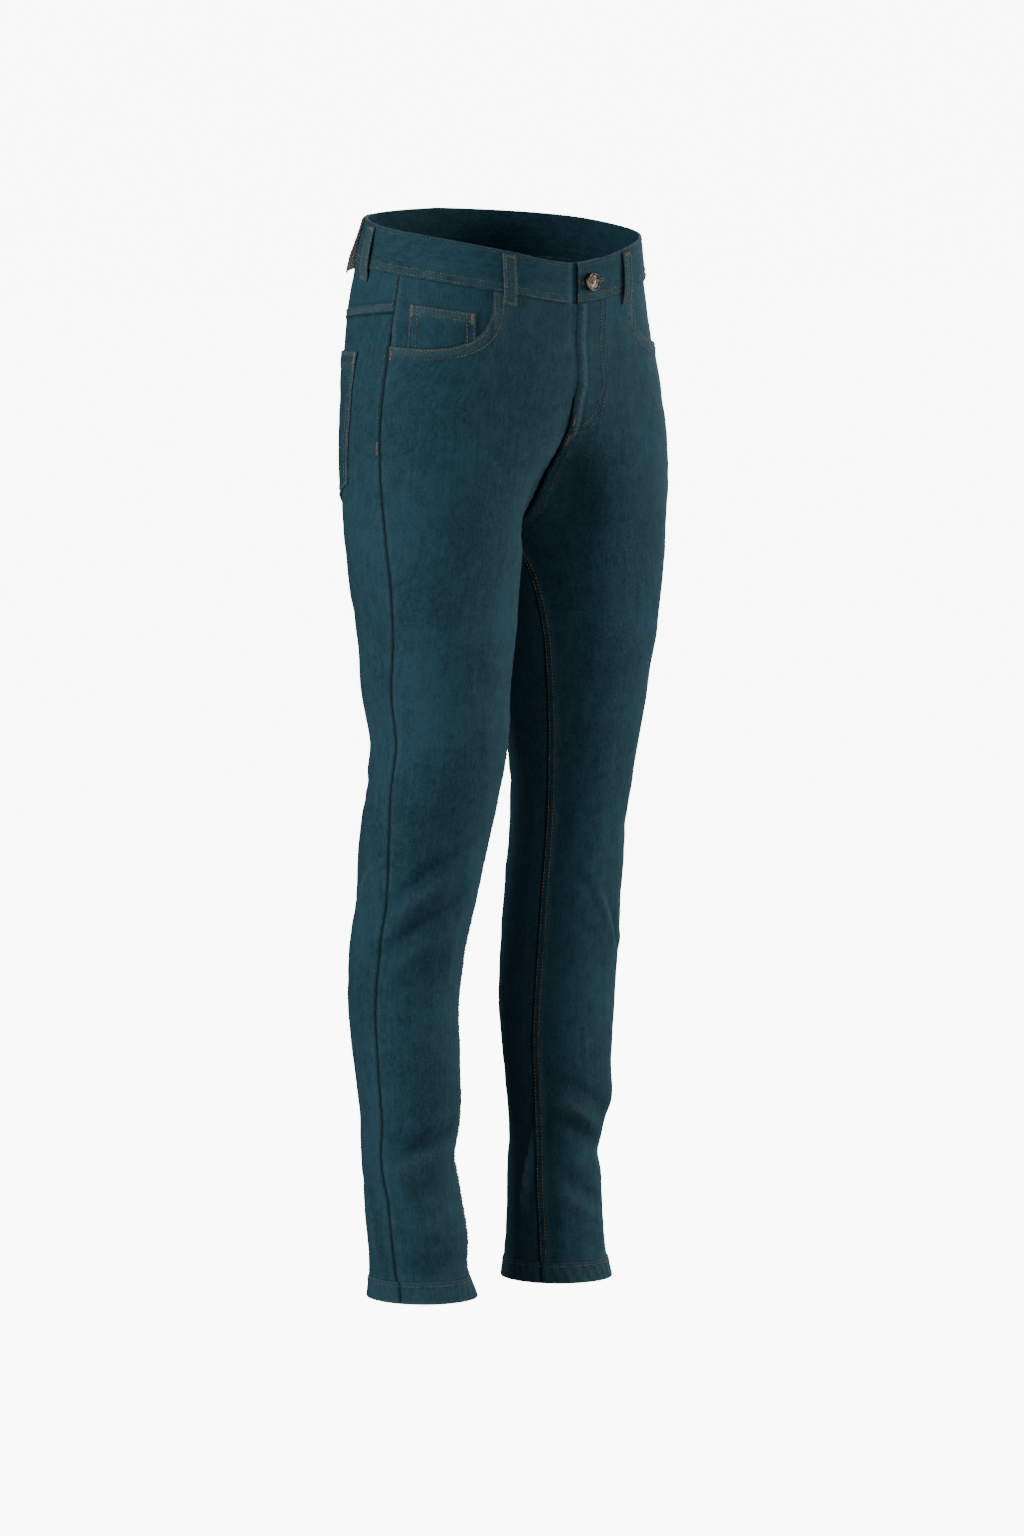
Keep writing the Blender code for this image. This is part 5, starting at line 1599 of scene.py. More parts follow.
@dataclass
class HandPocket:
    """The facing that shows inside a hand pocket and, on the right, the coin pocket on it."""

    room: Workroom
    side: Side
    front_angle: float = 96.0
    bottom: float = -0.140
    flush_angle: float = 12.0
    flush_rise: float = 0.006
    flush_ease: float = 0.014
    coin_top: float = -0.066
    coin_back_angle: float = 30.0
    coin_front_angle: float = 75.0

    def height(self, angle: Array, level: Array) -> Array:
        """The facing lies under the front, and comes up flush with the back by the side seam."""
        near_seam = ease(1 - (angle - self.room.form.side_seam(level)) / self.flush_angle)
        above = ease((level + BAND_HEIGHT + POCKET_MOUTH_DROP - self.flush_rise) / self.flush_ease)
        across = np.radians(angle) * 0.08
        soft = Undulation(0.030, 0.00010, 71).at(across, level)
        return UNDER_FRONT * (1 - near_seam * above) + soft * (1 - near_seam)

    def make(self) -> None:
        """Builds the facing and the coin pocket."""
        form = self.room.form
        rows = np.linspace(WAIST_SEAM, self.bottom, 44)[:, None]
        seam = form.side_seam(rows) + form.gap_angle(self.side, rows)
        angle = seam + (self.front_angle - seam) * np.linspace(0, 1, 48)
        level = np.broadcast_to(rows, angle.shape)
        name = f"pocket_facing_{self.side.word}"
        wear = 0.45 * hill(np.radians(angle - seam) * 0.09 - 0.002, 0.003)
        shell = self.room.lay(
            f"{name}_cloth", self.side, angle, level, self.height(angle, level) - 0.0001, DENIM_WALL, wear
        )
        self.room.finish_cloth(shell, name, "hung", ["waistband_cloth"])
        if self.side is Side.RIGHT:
            self.make_coin_pocket()

    def coin_height(self, angle: Array, level: Array) -> Array:
        """How far the coin pocket's face stands above the form."""
        return self.height(angle, level) + SEAM_GAP + DENIM_WALL

    def make_coin_pocket(self) -> None:
        """The small pocket on the facing, with its double rows and bartacks."""
        form = self.room.form
        across = edged_shares(34, 0.03)
        down = edged_shares(22, 0.035)[:, None]
        angle = self.coin_front_angle + (self.coin_back_angle - self.coin_front_angle) * across
        foot = mouth_level(angle, form.side_seam(np.array(-0.10))) + 4 * SEAM_GAP
        level = self.coin_top + (foot - self.coin_top) * down
        angle = np.broadcast_to(angle, level.shape)
        drop = np.maximum(edge_drop(across, 0.070, 0.0006), edge_drop(np.minimum(down, 0.5), 0.040, 0.0006))
        puff = 0.0004 * hill(level - self.coin_top + 0.0055, 0.006)
        wear = 0.5 * hill(self.coin_top - level, 0.0018) + 0.4 * hill(across * 0.07, 0.002)
        wear = wear + 0.5 * hill(self.coin_top - level - 0.0055, 0.0050)
        wear = np.clip(wear + 0.4 * hill((1 - across) * 0.07, 0.002), 0.0, 1.0)
        shell = self.room.lay(
            "coin_pocket_cloth",
            self.side,
            angle,
            level,
            self.coin_height(angle, level) + puff,
            DENIM_WALL,
            wear,
            drop=drop,
        )
        self.room.finish_cloth(shell, "coin_pocket", "hung", ["pocket_facing_right_cloth"])
        sewing = self.room.sewing
        ends = (self.coin_front_angle - 1.4, self.coin_back_angle + 1.4)
        for below in (0.0020, 0.0088):
            line = np.linspace(*ends, 40)
            depth = np.full(40, self.coin_top - below)
            lift = self.coin_height(line, depth) + THREAD_LIFT + 0.0003
            sewing.sew("coin_pocket", TOPSTITCH, ThreadKind.BROWN, form.row(self.side, line, depth, lift))
        for at, inward in ((ends[0], -1), (ends[1], 1)):
            for shift in (0.0, 4.4):
                place = np.full(24, at + inward * shift)
                foot = mouth_level(place, form.side_seam(np.array(-0.10)))
                depth = self.coin_top - 0.002 + (foot - self.coin_top + 0.004) * np.linspace(0, 1, 24)
                lift = self.coin_height(place, depth) + THREAD_LIFT
                sewing.sew("coin_pocket", TOPSTITCH, ThreadKind.BROWN, form.row(self.side, place, depth, lift))
            tack = np.full(4, at + inward * 0.9)
            depth = np.linspace(self.coin_top - 0.0006, self.coin_top - 0.0110, 4)
            lift = self.coin_height(tack, depth) + THREAD_LIFT + 0.0004
            sewing.sew("coin_pocket", BARTACK, ThreadKind.TAN, form.row(self.side, tack, depth, lift))


@dataclass
class BackPocket:
    """A five-sided patch pocket on the back, with a folded top."""

    room: Workroom
    side: Side
    back: BackPanel
    top_side: float = -0.118
    top_centre: float = -0.126
    deep: float = 0.122
    point: float = 0.020
    side_angle: float = -12.0
    centre_angle: float = -102.0
    taper: float = 5.0
    width: float = 0.150

    def place(self, across: Array, down: Array) -> tuple[Array, Array]:
        """The angle and level at a share across and down the pocket."""
        top = self.top_side + (self.top_centre - self.top_side) * across
        bottom = top - self.deep - self.point * (1 - np.abs(2 * across - 1))
        level = top + (bottom - top) * down
        first = self.side_angle - self.taper * down
        last = self.centre_angle + self.taper * down
        return first + (last - first) * across, level

    def height(self, angle: Array, level: Array) -> Array:
        """How far the pocket's face stands above the form."""
        return self.back.relief(angle, level) + LAID_GAP + DENIM_WALL

    def make(self) -> None:
        """Builds the pocket and sews its hem, its outline and its corner bartacks."""
        across = edged_shares(46, 0.012)
        down = edged_shares(46, 0.014)[:, None]
        angle, level = self.place(across, np.broadcast_to(down, (len(down), len(across))))
        drop = np.maximum(edge_drop(across, self.width, 0.0007), edge_drop(down, self.deep, 0.0007))
        folded = 0.0005 * ease(1 - (down * self.deep - 0.012) / 0.0015)
        edge = np.minimum(np.minimum(across, 1 - across) * self.width, np.minimum(down, 1 - down) * self.deep)
        wear = np.clip(0.85 * hill(edge - 0.0008, 0.0018) + 0.35 * hill(down * self.deep - 0.013, 0.002), 0, 1)
        name = f"back_pocket_{self.side.word}"
        shell = self.room.lay(
            f"{name}_cloth",
            self.side,
            angle,
            level,
            self.height(angle, level) + folded,
            DENIM_WALL,
            wear,
            drop=drop,
        )
        self.room.finish_cloth(shell, name, "hung", [f"back_{self.side.word}_cloth"])
        for inset in (0.0020, 0.0080):
            side_share = inset / self.width
            foot = 1 - inset / self.deep
            corners = ((side_share, 0.004), (side_share, foot), (0.5, foot), (1 - side_share, foot), (1 - side_share, 0.004))
            self.room.sewing.sew(name, TOPSTITCH, ThreadKind.BROWN, self.row(corners))
        for below in (0.0028, 0.0105):
            share = below / self.deep
            self.room.sewing.sew(name, TOPSTITCH, ThreadKind.BROWN, self.row(((0.02, share), (0.98, share))))
        for at in (0.014, 0.986):
            self.room.sewing.sew(name, BARTACK, ThreadKind.TAN, self.row(((at, 0.004), (at, 0.085))))

    def row(self, corners: Sequence[tuple[float, float]]) -> Row:
        """A line of sewing through corners given as shares across and down."""
        steps = np.linspace(0, 1, 30)
        stretches = [
            np.array(start) + (np.array(end) - np.array(start)) * steps[:, None]
            for start, end in zip(corners, corners[1:])
        ]
        shares = np.concatenate([stretch[:-1] for stretch in stretches] + [stretches[-1][-1:]])
        angle, level = self.place(shares[:, 0], shares[:, 1])
        lift = self.height(angle, level) + THREAD_LIFT + 0.0005 * (shares[:, 1] * self.deep < 0.012)
        return self.room.form.row(self.side, angle, level, lift)


@dataclass
class Waistband:
    """One folded strip, from its lapping end at the left of the fly round the back to the end below."""

    room: Workroom
    columns: int = 120
    rows: int = 12
    step_from_x: float = -0.010
    step_to_x: float = 0.002
    underlap_x: float = 0.036
    edge_radius: float = 0.0011
    hole_from_x: float = 0.0095
    hole_to_x: float = 0.0365
    hole_half_width: float = 0.0016
    hole_level: float = -0.0205

    def places(self, level: float, columns: int, whole: bool) -> list[tuple[Side, float, float]]:
        """Side, angle and height along the band at one level.

        Args:
            level: The level.
            columns: How many places each half takes.
            whole: Whether to go on to the end that lies below the lap.

        Returns:
            The places in order from the lapping end.
        """
        form = self.room.form
        over_end = float(form.angle_at_x(Side.LEFT, level, FLY_EDGE_X, Facing.FRONT))
        left_back = float(form.angle_at_x(Side.LEFT, level, 0.0, Facing.BACK))
        places = [(Side.LEFT, angle, BAND_PROUD) for angle in np.linspace(over_end, left_back, columns)]
        step_from = float(form.angle_at_x(Side.RIGHT, level, -self.step_from_x, Facing.FRONT))
        right_back = float(form.angle_at_x(Side.RIGHT, level, 0.0, Facing.BACK))
        places += [(Side.RIGHT, angle, BAND_PROUD) for angle in np.linspace(right_back, step_from, columns)[1:]]
        if whole:
            stepping = np.linspace(self.step_from_x, self.step_to_x, 9)[1:]
            lapped = np.linspace(self.step_to_x, self.underlap_x, 14)[1:]
            x = np.concatenate([stepping, lapped])
            angles = form.angle_at_x(Side.LEFT, np.full(len(x), level), x, Facing.FRONT)
            sunk = ease((x - self.step_from_x) / (self.step_to_x - self.step_from_x))
            heights = BAND_PROUD - sunk * (FOLDED_WALL + LAID_GAP)
            places += [(Side.LEFT, angle, height) for angle, height in zip(angles, heights)]
        return places

    def skin(self, levels: Array, places: list[list[tuple[Side, float, float]]], extra: Array) -> Array:
        """The points of one face of the band, at an extra height for each point."""
        form = self.room.form
        grid = np.zeros((len(levels), len(places[0]), 3))
        sides = [side for side, _, _ in places[0]]
        angle = np.array([[place[1] for place in line] for line in places])
        height = np.array([[place[2] for place in line] for line in places]) + extra
        level = np.broadcast_to(levels[:, None], angle.shape)
        for side in Side:
            mine = np.array([s is side for s in sides])
            grid[:, mine] = form.raised(side, angle[:, mine], level[:, mine], height[:, mine])
        return grid

    def relief(self, shape: tuple[int, int], shares: Array, run: Array) -> Array:
        """The band's rounded edges, the hollow between its sewn rows and a faint rope twist."""
        drop = edge_drop(shares, BAND_HEIGHT, self.edge_radius)[:, None]
        rows = 0.00030 * (hill(shares - 0.085, 0.05) + hill(shares - 0.86, 0.07))[:, None]
        rope = 0.00016 * np.sin(2 * math.pi * (run / 0.011 + shares[:, None] * 1.6))
        rope = rope * (hill(shares - 0.0, 0.16) + hill(shares - 1.0, 0.16))[:, None]
        soft = Undulation(0.045, 0.00018, 91).at(run, shares[:, None] * BAND_HEIGHT)
        return np.broadcast_to(-drop - rows + rope + soft, shape)

    def make(self) -> None:
        """Builds the band and sews its edges and its buttonhole."""
        shares = edged_shares(self.rows, 0.055)
        levels = -BAND_HEIGHT * shares
        places = [self.places(level, self.columns, True) for level in levels]
        plain = self.skin(levels, places, np.zeros((len(levels), len(places[0]))))
        run = np.linalg.norm(np.diff(plain, axis=1), axis=-1)
        run = np.concatenate([np.zeros((len(levels), 1)), np.cumsum(run, axis=1)], axis=1)
        lapped = np.array([place[2] >= BAND_PROUD - 1e-6 for place in places[0]])
        relief = self.relief(run.shape, shares, run) * lapped
        outer = self.skin(levels, places, relief)
        inner = self.skin(levels, places, np.full(run.shape, -FOLDED_WALL))
        uneven = 0.6 + 0.4 * Undulation(0.012, 0.8, 92).at(run, shares[:, None] * BAND_HEIGHT)
        wear = 0.55 * hill(shares * BAND_HEIGHT, 0.0016) + 0.30 * hill((1 - shares) * BAND_HEIGHT, 0.0016)
        wear = wear + 0.42 * hill(shares - 0.87, 0.085)
        wear = np.clip((wear[:, None] + 0.5 * hill(run, 0.0016)) * uneven, 0.0, 1.0)
        grain = np.stack([np.broadcast_to(levels[:, None], run.shape), run], axis=-1)
        shell = Shell("waistband_cloth", outer, inner, grain, wear)
        self.room.finish_cloth(shell, "waistband", "stretched")
        self.sew()
        self.sew_buttonhole()

    def sew(self) -> None:
        """A row along the top, two rows above the waist seam and a row down the lapping end."""
        for share, thread in ((0.085, ThreadKind.TEAL), (0.80, ThreadKind.BROWN), (0.94, ThreadKind.BROWN)):
            level = -BAND_HEIGHT * share
            places = self.places(level, 170, False)
            for side in Side:
                mine = [place for place in places if place[0] is side]
                angle = np.array([place[1] for place in mine])
                height = np.array([place[2] for place in mine]) + THREAD_LIFT - 0.0002
                row = self.room.form.row(side, angle, np.full(len(mine), level), height)
                self.room.sewing.sew("waistband", TOPSTITCH, thread, row)
        level = np.linspace(-0.004, -BAND_HEIGHT + 0.003, 20)
        angle = self.room.form.angle_at_x(Side.LEFT, level, FLY_EDGE_X + 0.0022, Facing.FRONT)
        row = self.room.form.row(Side.LEFT, angle, level, BAND_PROUD + THREAD_LIFT)
        self.room.sewing.sew("waistband", TOPSTITCH, ThreadKind.TEAL, row)

    def sew_buttonhole(self) -> None:
        """Close stitches round the slit that the button stands at, with a rounded end."""
        middle = (self.hole_from_x + self.hole_to_x) / 2
        half = (self.hole_to_x - self.hole_from_x) / 2
        turn = np.linspace(0, 2 * math.pi, 70)
        x = middle + half * np.cos(turn)
        level = self.hole_level + self.hole_half_width * np.sign(np.sin(turn)) * np.abs(np.sin(turn)) ** 0.5
        angle = self.room.form.angle_at_x(Side.LEFT, level, x, Facing.FRONT)
        row = self.room.form.row(Side.LEFT, angle, level, BAND_PROUD + THREAD_LIFT)
        self.room.sewing.sew("waistband", HOLE_STITCH, ThreadKind.TAN, row)


@dataclass
class Hem:
    """The turned-up ring at the end of a leg, slightly roped by its sewing."""

    room: Workroom
    side: Side
    columns: int = 280
    row_above_edge: float = 0.0158

    def twist(self, angle: Array, share: Array) -> Array:
        """Slanting puckers between the sewn row and the edge."""
        around = np.radians(angle) * 0.051
        swing = Undulation(0.05, 0.9, 101 + self.side.value).at(around, share * 0)
        rope = np.sin(2 * math.pi * (around / 0.0107 + share * 0.8) + swing)
        return 0.00034 * rope * ease((1.15 - np.abs(2 * share - 1)) / 0.5)

    def make(self) -> None:
        """Builds the hem and sews its row."""
        share = edged_shares(9, 0.09)[:, None]
        level = -LEG_LENGTH + HEM_HEIGHT * (1 - share)
        angle = np.linspace(0, TURN, self.columns + 1)[:-1]
        drop = edge_drop(share, HEM_HEIGHT, 0.0011)
        twist = self.twist(angle, share)
        wear = 0.8 * hill((1 - share) * HEM_HEIGHT, 0.0016) + 0.35 * hill(share * HEM_HEIGHT, 0.0014)
        wear = np.clip(wear * (0.75 + 800 * twist), 0.0, 1.0) + 0.12
        for seam in (LEG_SECTIONS[-1].side_seam, LEG_SECTIONS[-1].inseam):
            turn = np.abs((angle - seam + TURN / 2) % TURN - TURN / 2)
            gap = np.radians(turn) * 0.051
            twist = twist + 0.0006 * hill(gap - 0.004, 0.004) - 0.0009 * hill(gap, 0.0012)
            # Painted shade in the hem's side seam and inseam.
            wear = wear - 1.2 * hill(gap, 0.0013)
        name = f"hem_{self.side.word}"
        shell = self.room.lay(
            f"{name}_cloth",
            self.side,
            angle,
            level,
            BAND_PROUD + twist,
            FOLDED_WALL,
            wear,
            closed=True,
            drop=drop,
        )
        self.room.finish_cloth(shell, name, "hung", [f"front_{self.side.word}_cloth"])
        ring = np.linspace(0, TURN, 200)
        depth = np.full(200, -LEG_LENGTH + self.row_above_edge)
        row = self.room.form.row(self.side, ring, depth, BAND_PROUD + THREAD_LIFT)
        self.room.sewing.sew(name, TOPSTITCH, ThreadKind.BROWN, row)


@dataclass
class BeltLoop:
    """A belt loop: a folded strip tacked down at both ends."""

    room: Workroom
    name: str
    side: Side
    angle: float | None
    width: float = 0.012
    top: float = -0.002
    bottom: float = -0.053
    bulge: float = 0.0022
    bulge_power: float = 0.7
    step_drop: float = 0.006
    step_ease: float = 0.004

    def height(self, level: Array) -> Array:
        """The loop's outer face: down on the band at its top, on the panel at its foot."""
        share = (self.top - level) / (self.top - self.bottom)
        over_band = BAND_PROUD * ease((level + BAND_HEIGHT + self.step_drop) / self.step_ease)
        bulge = self.bulge * np.sin(math.pi * np.clip(share, 0, 1)) ** self.bulge_power
        return SEAM_GAP + over_band + bulge + LOOP_WALL

    def angle_across(self, x: Array, level: Array) -> Array:
        """The angle at a distance across the loop from its middle."""
        form = self.room.form
        if self.angle is None:
            return form.angle_at_x(Side.LEFT, level, x, Facing.BACK)
        radius = form.radius(self.side, np.array(self.angle), np.array(self.top))
        return self.angle + np.degrees(x / radius)

    def make(self) -> None:
        """Builds the loop, its two sewn rows and its bartacks."""
        across = edged_shares(5, 0.12)
        down = edged_shares(26, 0.03)[:, None]
        level = np.broadcast_to(self.top + (self.bottom - self.top) * down, (len(down), len(across)))
        x = np.broadcast_to((across - 0.5) * self.width, level.shape)
        angle = self.angle_across(x, level)
        drop = np.maximum(edge_drop(across, self.width, 0.0007), edge_drop(down, 0.051, 0.0007))
        edge = np.minimum(across, 1 - across) * self.width
        wear = 0.7 * hill(edge - 0.0006, 0.0013) + 0.6 * hill((1 - down) * 0.051, 0.002)
        wear = np.clip(wear + 0.28, 0.0, 1.0)
        shell = self.room.lay(
            f"{self.name}_cloth", self.side, angle, level, self.height(level), LOOP_WALL, wear, drop=drop
        )
        self.room.finish_cloth(shell, self.name, "stretched", ["waistband_cloth"])
        line = np.linspace(self.top - 0.004, self.bottom + 0.004, 24)
        for inset in (-0.0035, 0.0035):
            place = self.angle_across(np.full(24, inset), line)
            row = self.room.form.row(self.side, place, line, self.height(line) + THREAD_LIFT)
            self.room.sewing.sew("belt_loops", TOPSTITCH, ThreadKind.BROWN, row)
        for end in (self.top - 0.0028, self.bottom + 0.0028):
            x = np.linspace(-0.0050, 0.0050, 5)
            depth = np.full(5, end)
            row = self.room.form.row(self.side, self.angle_across(x, depth), depth, self.height(depth) + THREAD_LIFT)
            self.room.sewing.sew("belt_loops", BARTACK, ThreadKind.BROWN, row)


@dataclass
class WaistPatch:
    """The blank leather patch over the band, whose lower edge stands away."""

    room: Workroom
    from_angle: float = -49.0
    to_angle: float = -81.0
    top: float = -0.001
    bottom: float = -0.052
    stands_off: float = 0.004
    width: float = 0.058

    def height(self, down: Array) -> Array:
        """How far the patch's face stands above the form."""
        return BAND_PROUD + LAID_GAP + PATCH_WALL + self.stands_off * ease(down)

    def make(self) -> None:
        """Builds the patch and its sewn top and sides."""
        across = edged_shares(26, 0.02)
        down = edged_shares(24, 0.025)[:, None]
        level = self.top + (self.bottom - self.top) * np.broadcast_to(down, (len(down), len(across)))
        angle = self.from_angle + (self.to_angle - self.from_angle) * across
        deep = self.top - self.bottom
        drop = np.maximum(edge_drop(across, self.width, 0.0006), edge_drop(down, deep, 0.0006))
        soft = Undulation(0.020, 0.00012, 121).at(across * self.width, down * deep)
        shell = self.room.lay(
            "blank_patch_leather",
            Side.RIGHT,
            angle,
            level,
            self.height(down) + soft,
            PATCH_WALL,
            np.zeros(level.shape),
            drop=drop,
        )
        width, length, area = shell.flat_size()
        piece = shell.build()
        dress(piece, self.room.leather, ("blank_patch",))
        rows = []
        for start, end in (((0.035, 0.93), (0.035, 0.045)), ((0.035, 0.045), (0.965, 0.045)), ((0.965, 0.045), (0.965, 0.93))):
            shares = np.array(start) + (np.array(end) - np.array(start)) * np.linspace(0, 1, 24)[:, None]
            place = self.from_angle + (self.to_angle - self.from_angle) * shares[:, 0]
            depth = self.top + (self.bottom - self.top) * shares[:, 1]
            lift = self.height(shares[:, 1]) + THREAD_LIFT
            rows.append(self.room.form.row(Side.RIGHT, place, depth, lift))
        self.room.sewing.sew("blank_patch", PATCH_STITCH, ThreadKind.DARK, *rows)


def turned_mesh(name: str, profile: Sequence[tuple[float, float]], place: Vector, axis: Vector) -> bpy.types.Object:
    """A round piece turned about an axis, built where it lies.

    Args:
        name: The piece's name.
        profile: Radius and height of each ring, from the top middle to the bottom middle.
        place: The foot of the axis.
        axis: Its direction.

    Returns:
        The piece, closed at both poles.
    """
    steps = 64
    turn = axis.to_track_quat("Z", "Y").to_matrix()
    form = bmesh.new()
    rings = []
    for radius, height in profile:
        count = 1 if radius == 0.0 else steps
        ring = []
        for i in range(count):
            a = 2 * math.pi * i / steps
            ring.append(form.verts.new(place + turn @ Vector((radius * math.cos(a), radius * math.sin(a), height))))
        rings.append(ring)
    for above, below in zip(rings, rings[1:]):
        for i in range(steps):
            corners = [above[i % len(above)], below[i % len(below)], below[(i + 1) % len(below)], above[(i + 1) % len(above)]]
            form.faces.new(list(dict.fromkeys(corners)))
    bmesh.ops.recalc_face_normals(form, faces=form.faces)
    mesh = bpy.data.meshes.new(name)
    form.to_mesh(mesh)
    form.free()
    mesh.shade_smooth()
    mesh.set_sharp_from_angle(angle=math.radians(SHARP_DEGREES))
    piece = bpy.data.objects.new(name, mesh)
    bpy.context.scene.collection.objects.link(piece)
    return piece


@dataclass
class ShankButton:
    """The button on the band: a cap with a rolled rim, a sunk ring and a low boss, on its stem."""

    room: Workroom
    x: float = 0.0192
    level: float = -0.0205
    radius: float = 0.00875
    thickness: float = 0.0030
    shank_radius: float = 0.0036
    shank_height: float = 0.0016

    def make(self) -> None:
        """Builds the cap and the shank."""
        form = self.room.form
        angle = form.angle_at_x(Side.LEFT, self.level, self.x, Facing.FRONT)
        base = Vector(form.raised(Side.LEFT, angle, self.level, BAND_PROUD + SEAM_GAP))
        axis = Vector(form.outward(Side.LEFT, angle, self.level))
        stem = ((0.0, 1.0), (1.0, 1.0), (1.0, 0.0), (0.0, 0.0))
        shank = [(self.shank_radius * r, self.shank_height * h) for r, h in stem]
        piece = turned_mesh("button_shank_turned", shank, base, axis)
        dress(piece, self.room.brass, ("button_shank",))
        shares = (
            (0.0, 0.90), (0.10, 0.89), (0.17, 0.84), (0.21, 0.76), (0.26, 0.73), (0.50, 0.73),
            (0.54, 0.78), (0.58, 0.80), (0.62, 0.78), (0.66, 0.71), (0.74, 0.70), (0.78, 0.78),
            (0.84, 0.94), (0.89, 1.0), (0.94, 0.97), (0.98, 0.84), (1.0, 0.62), (1.0, 0.34),
            (0.975, 0.12), (0.93, 0.0), (0.0, 0.0),
        )
        cap = [(self.radius * r, self.thickness * h) for r, h in shares]
        lifted = base + axis * (self.shank_height + SEAM_GAP)
        piece = turned_mesh("button_cap_turned", cap, lifted, axis)
        dress(piece, self.room.brass, ("button_cap",))


@dataclass
class Fly:
    """The shield behind the lap, and the closed zip on it: tape, teeth and slider."""

    room: Workroom
    shield_x: tuple[float, float] = (-0.008, 0.036)
    zip_x: tuple[float, float] = (0.0145, 0.0270)
    top: float = -BAND_HEIGHT - 0.004
    end: float = -0.138
    inset: float = 0.004
    zip_wall: float = 0.0011
    tooth_pitch: float = 0.0021

    def strip(self, name: str, across: tuple[float, float], top: float, bottom: float, face: float, wall: float) -> Shell:
        """A flat strip on the form of the right front."""
        level, x = np.broadcast_arrays(np.linspace(top, bottom, 40)[:, None], np.linspace(*across, 14))
        angle = self.room.form.angle_at_x(Side.RIGHT, level, -x, Facing.FRONT)
        return self.room.lay(name, Side.RIGHT, angle, level, face, wall, np.zeros(level.shape))

    def make(self) -> None:
        """Builds the shield, the tape, the teeth and the slider."""
        shield = self.strip("fly_shield_cloth", self.shield_x, self.top, self.end, UNDER_FRONT, DENIM_WALL)
        self.room.finish_cloth(shield, "fly_shield", "hung", ["waistband_cloth"])
        face = UNDER_FRONT + SEAM_GAP + self.zip_wall
        top = self.top - self.inset
        bottom = self.end + self.inset
        tape_wall = 0.0005
        tape = self.strip("zip_tape", self.zip_x, top, bottom, face - self.zip_wall + tape_wall, tape_wall)
        width, length, area = tape.flat_size()
        piece = tape.build()
        dress(piece, self.room.tape, ("fly_zip",))
        self.make_teeth(top - 0.003, bottom + 0.003, face)
        self.make_slider(top - 0.006, face)

    def middle_row(self, top: float, bottom: float, height: float, count: int) -> Row:
        """The line down the middle of the tape."""
        level = np.linspace(top, bottom, count)
        x = sum(self.zip_x) / 2
        angle = self.room.form.angle_at_x(Side.RIGHT, level, -x, Facing.FRONT)
        return self.room.form.row(Side.RIGHT, angle, level, height)

    def make_teeth(self, top: float, bottom: float, face: float) -> None:
        """Teeth from the sewn-line tree, each turned across the tape."""
        tooth = Stitch("teeth", self.tooth_pitch, 0.0046, 0.0009, math.pi / 2, 0.0)
        mesh = self.room.sewing.guide_mesh([self.middle_row(top, bottom, face - 0.0004, 50)])
        inputs = {
            "Pitch": tooth.pitch,
            "Length": tooth.length,
            "Thickness": tooth.thickness,
            "Turn": tooth.turn,
            "Wander": tooth.wander,
            "Seed": 0,
            "Thread": self.room.brass.material,
        }
        piece = run_tree("zip_teeth", mesh, thread_tree(), inputs)
        dress(piece, self.room.brass)

    def make_slider(self, top: float, face: float) -> None:
        """The slider at the top of the zip, as a low rounded block with its pull lying flat."""
        row = self.middle_row(top, top - 0.008, face - 0.0003, 2)
        centre = Vector(row.points.mean(axis=0))
        down = Vector(row.points[1] - row.points[0]).normalized()
        out = Vector(row.outs.mean(axis=0)).normalized()
        across = down.cross(out).normalized()
        form = bmesh.new()
        bmesh.ops.create_cube(form, size=1.0)
        for vert in form.verts:
            taper = 0.8 if vert.co.y > 0 else 1.0
            local = (vert.co.x * 0.0062 * taper, vert.co.y * 0.0080, vert.co.z * 0.0006)
            vert.co = centre + across * local[0] + down * local[1] + out * local[2]
        bmesh.ops.bevel(
            form, geom=form.edges[:], offset=0.00022, segments=3, affect="EDGES", profile=0.5
        )
        bmesh.ops.recalc_face_normals(form, faces=form.faces)
        mesh = bpy.data.meshes.new("zip_slider")
        form.to_mesh(mesh)
        form.free()
        mesh.shade_smooth()
        piece = bpy.data.objects.new("zip_slider", mesh)
        bpy.context.scene.collection.objects.link(piece)
        dress(piece, self.room.brass)


@dataclass(frozen=True)
class SoftBox:
    """One studio light: its place round the jeans, size, power and colour."""

    name: str
    azimuth: float
    distance: float
    height: float
    size: tuple[float, float]
    power: float
    colour: tuple[float, float, float]


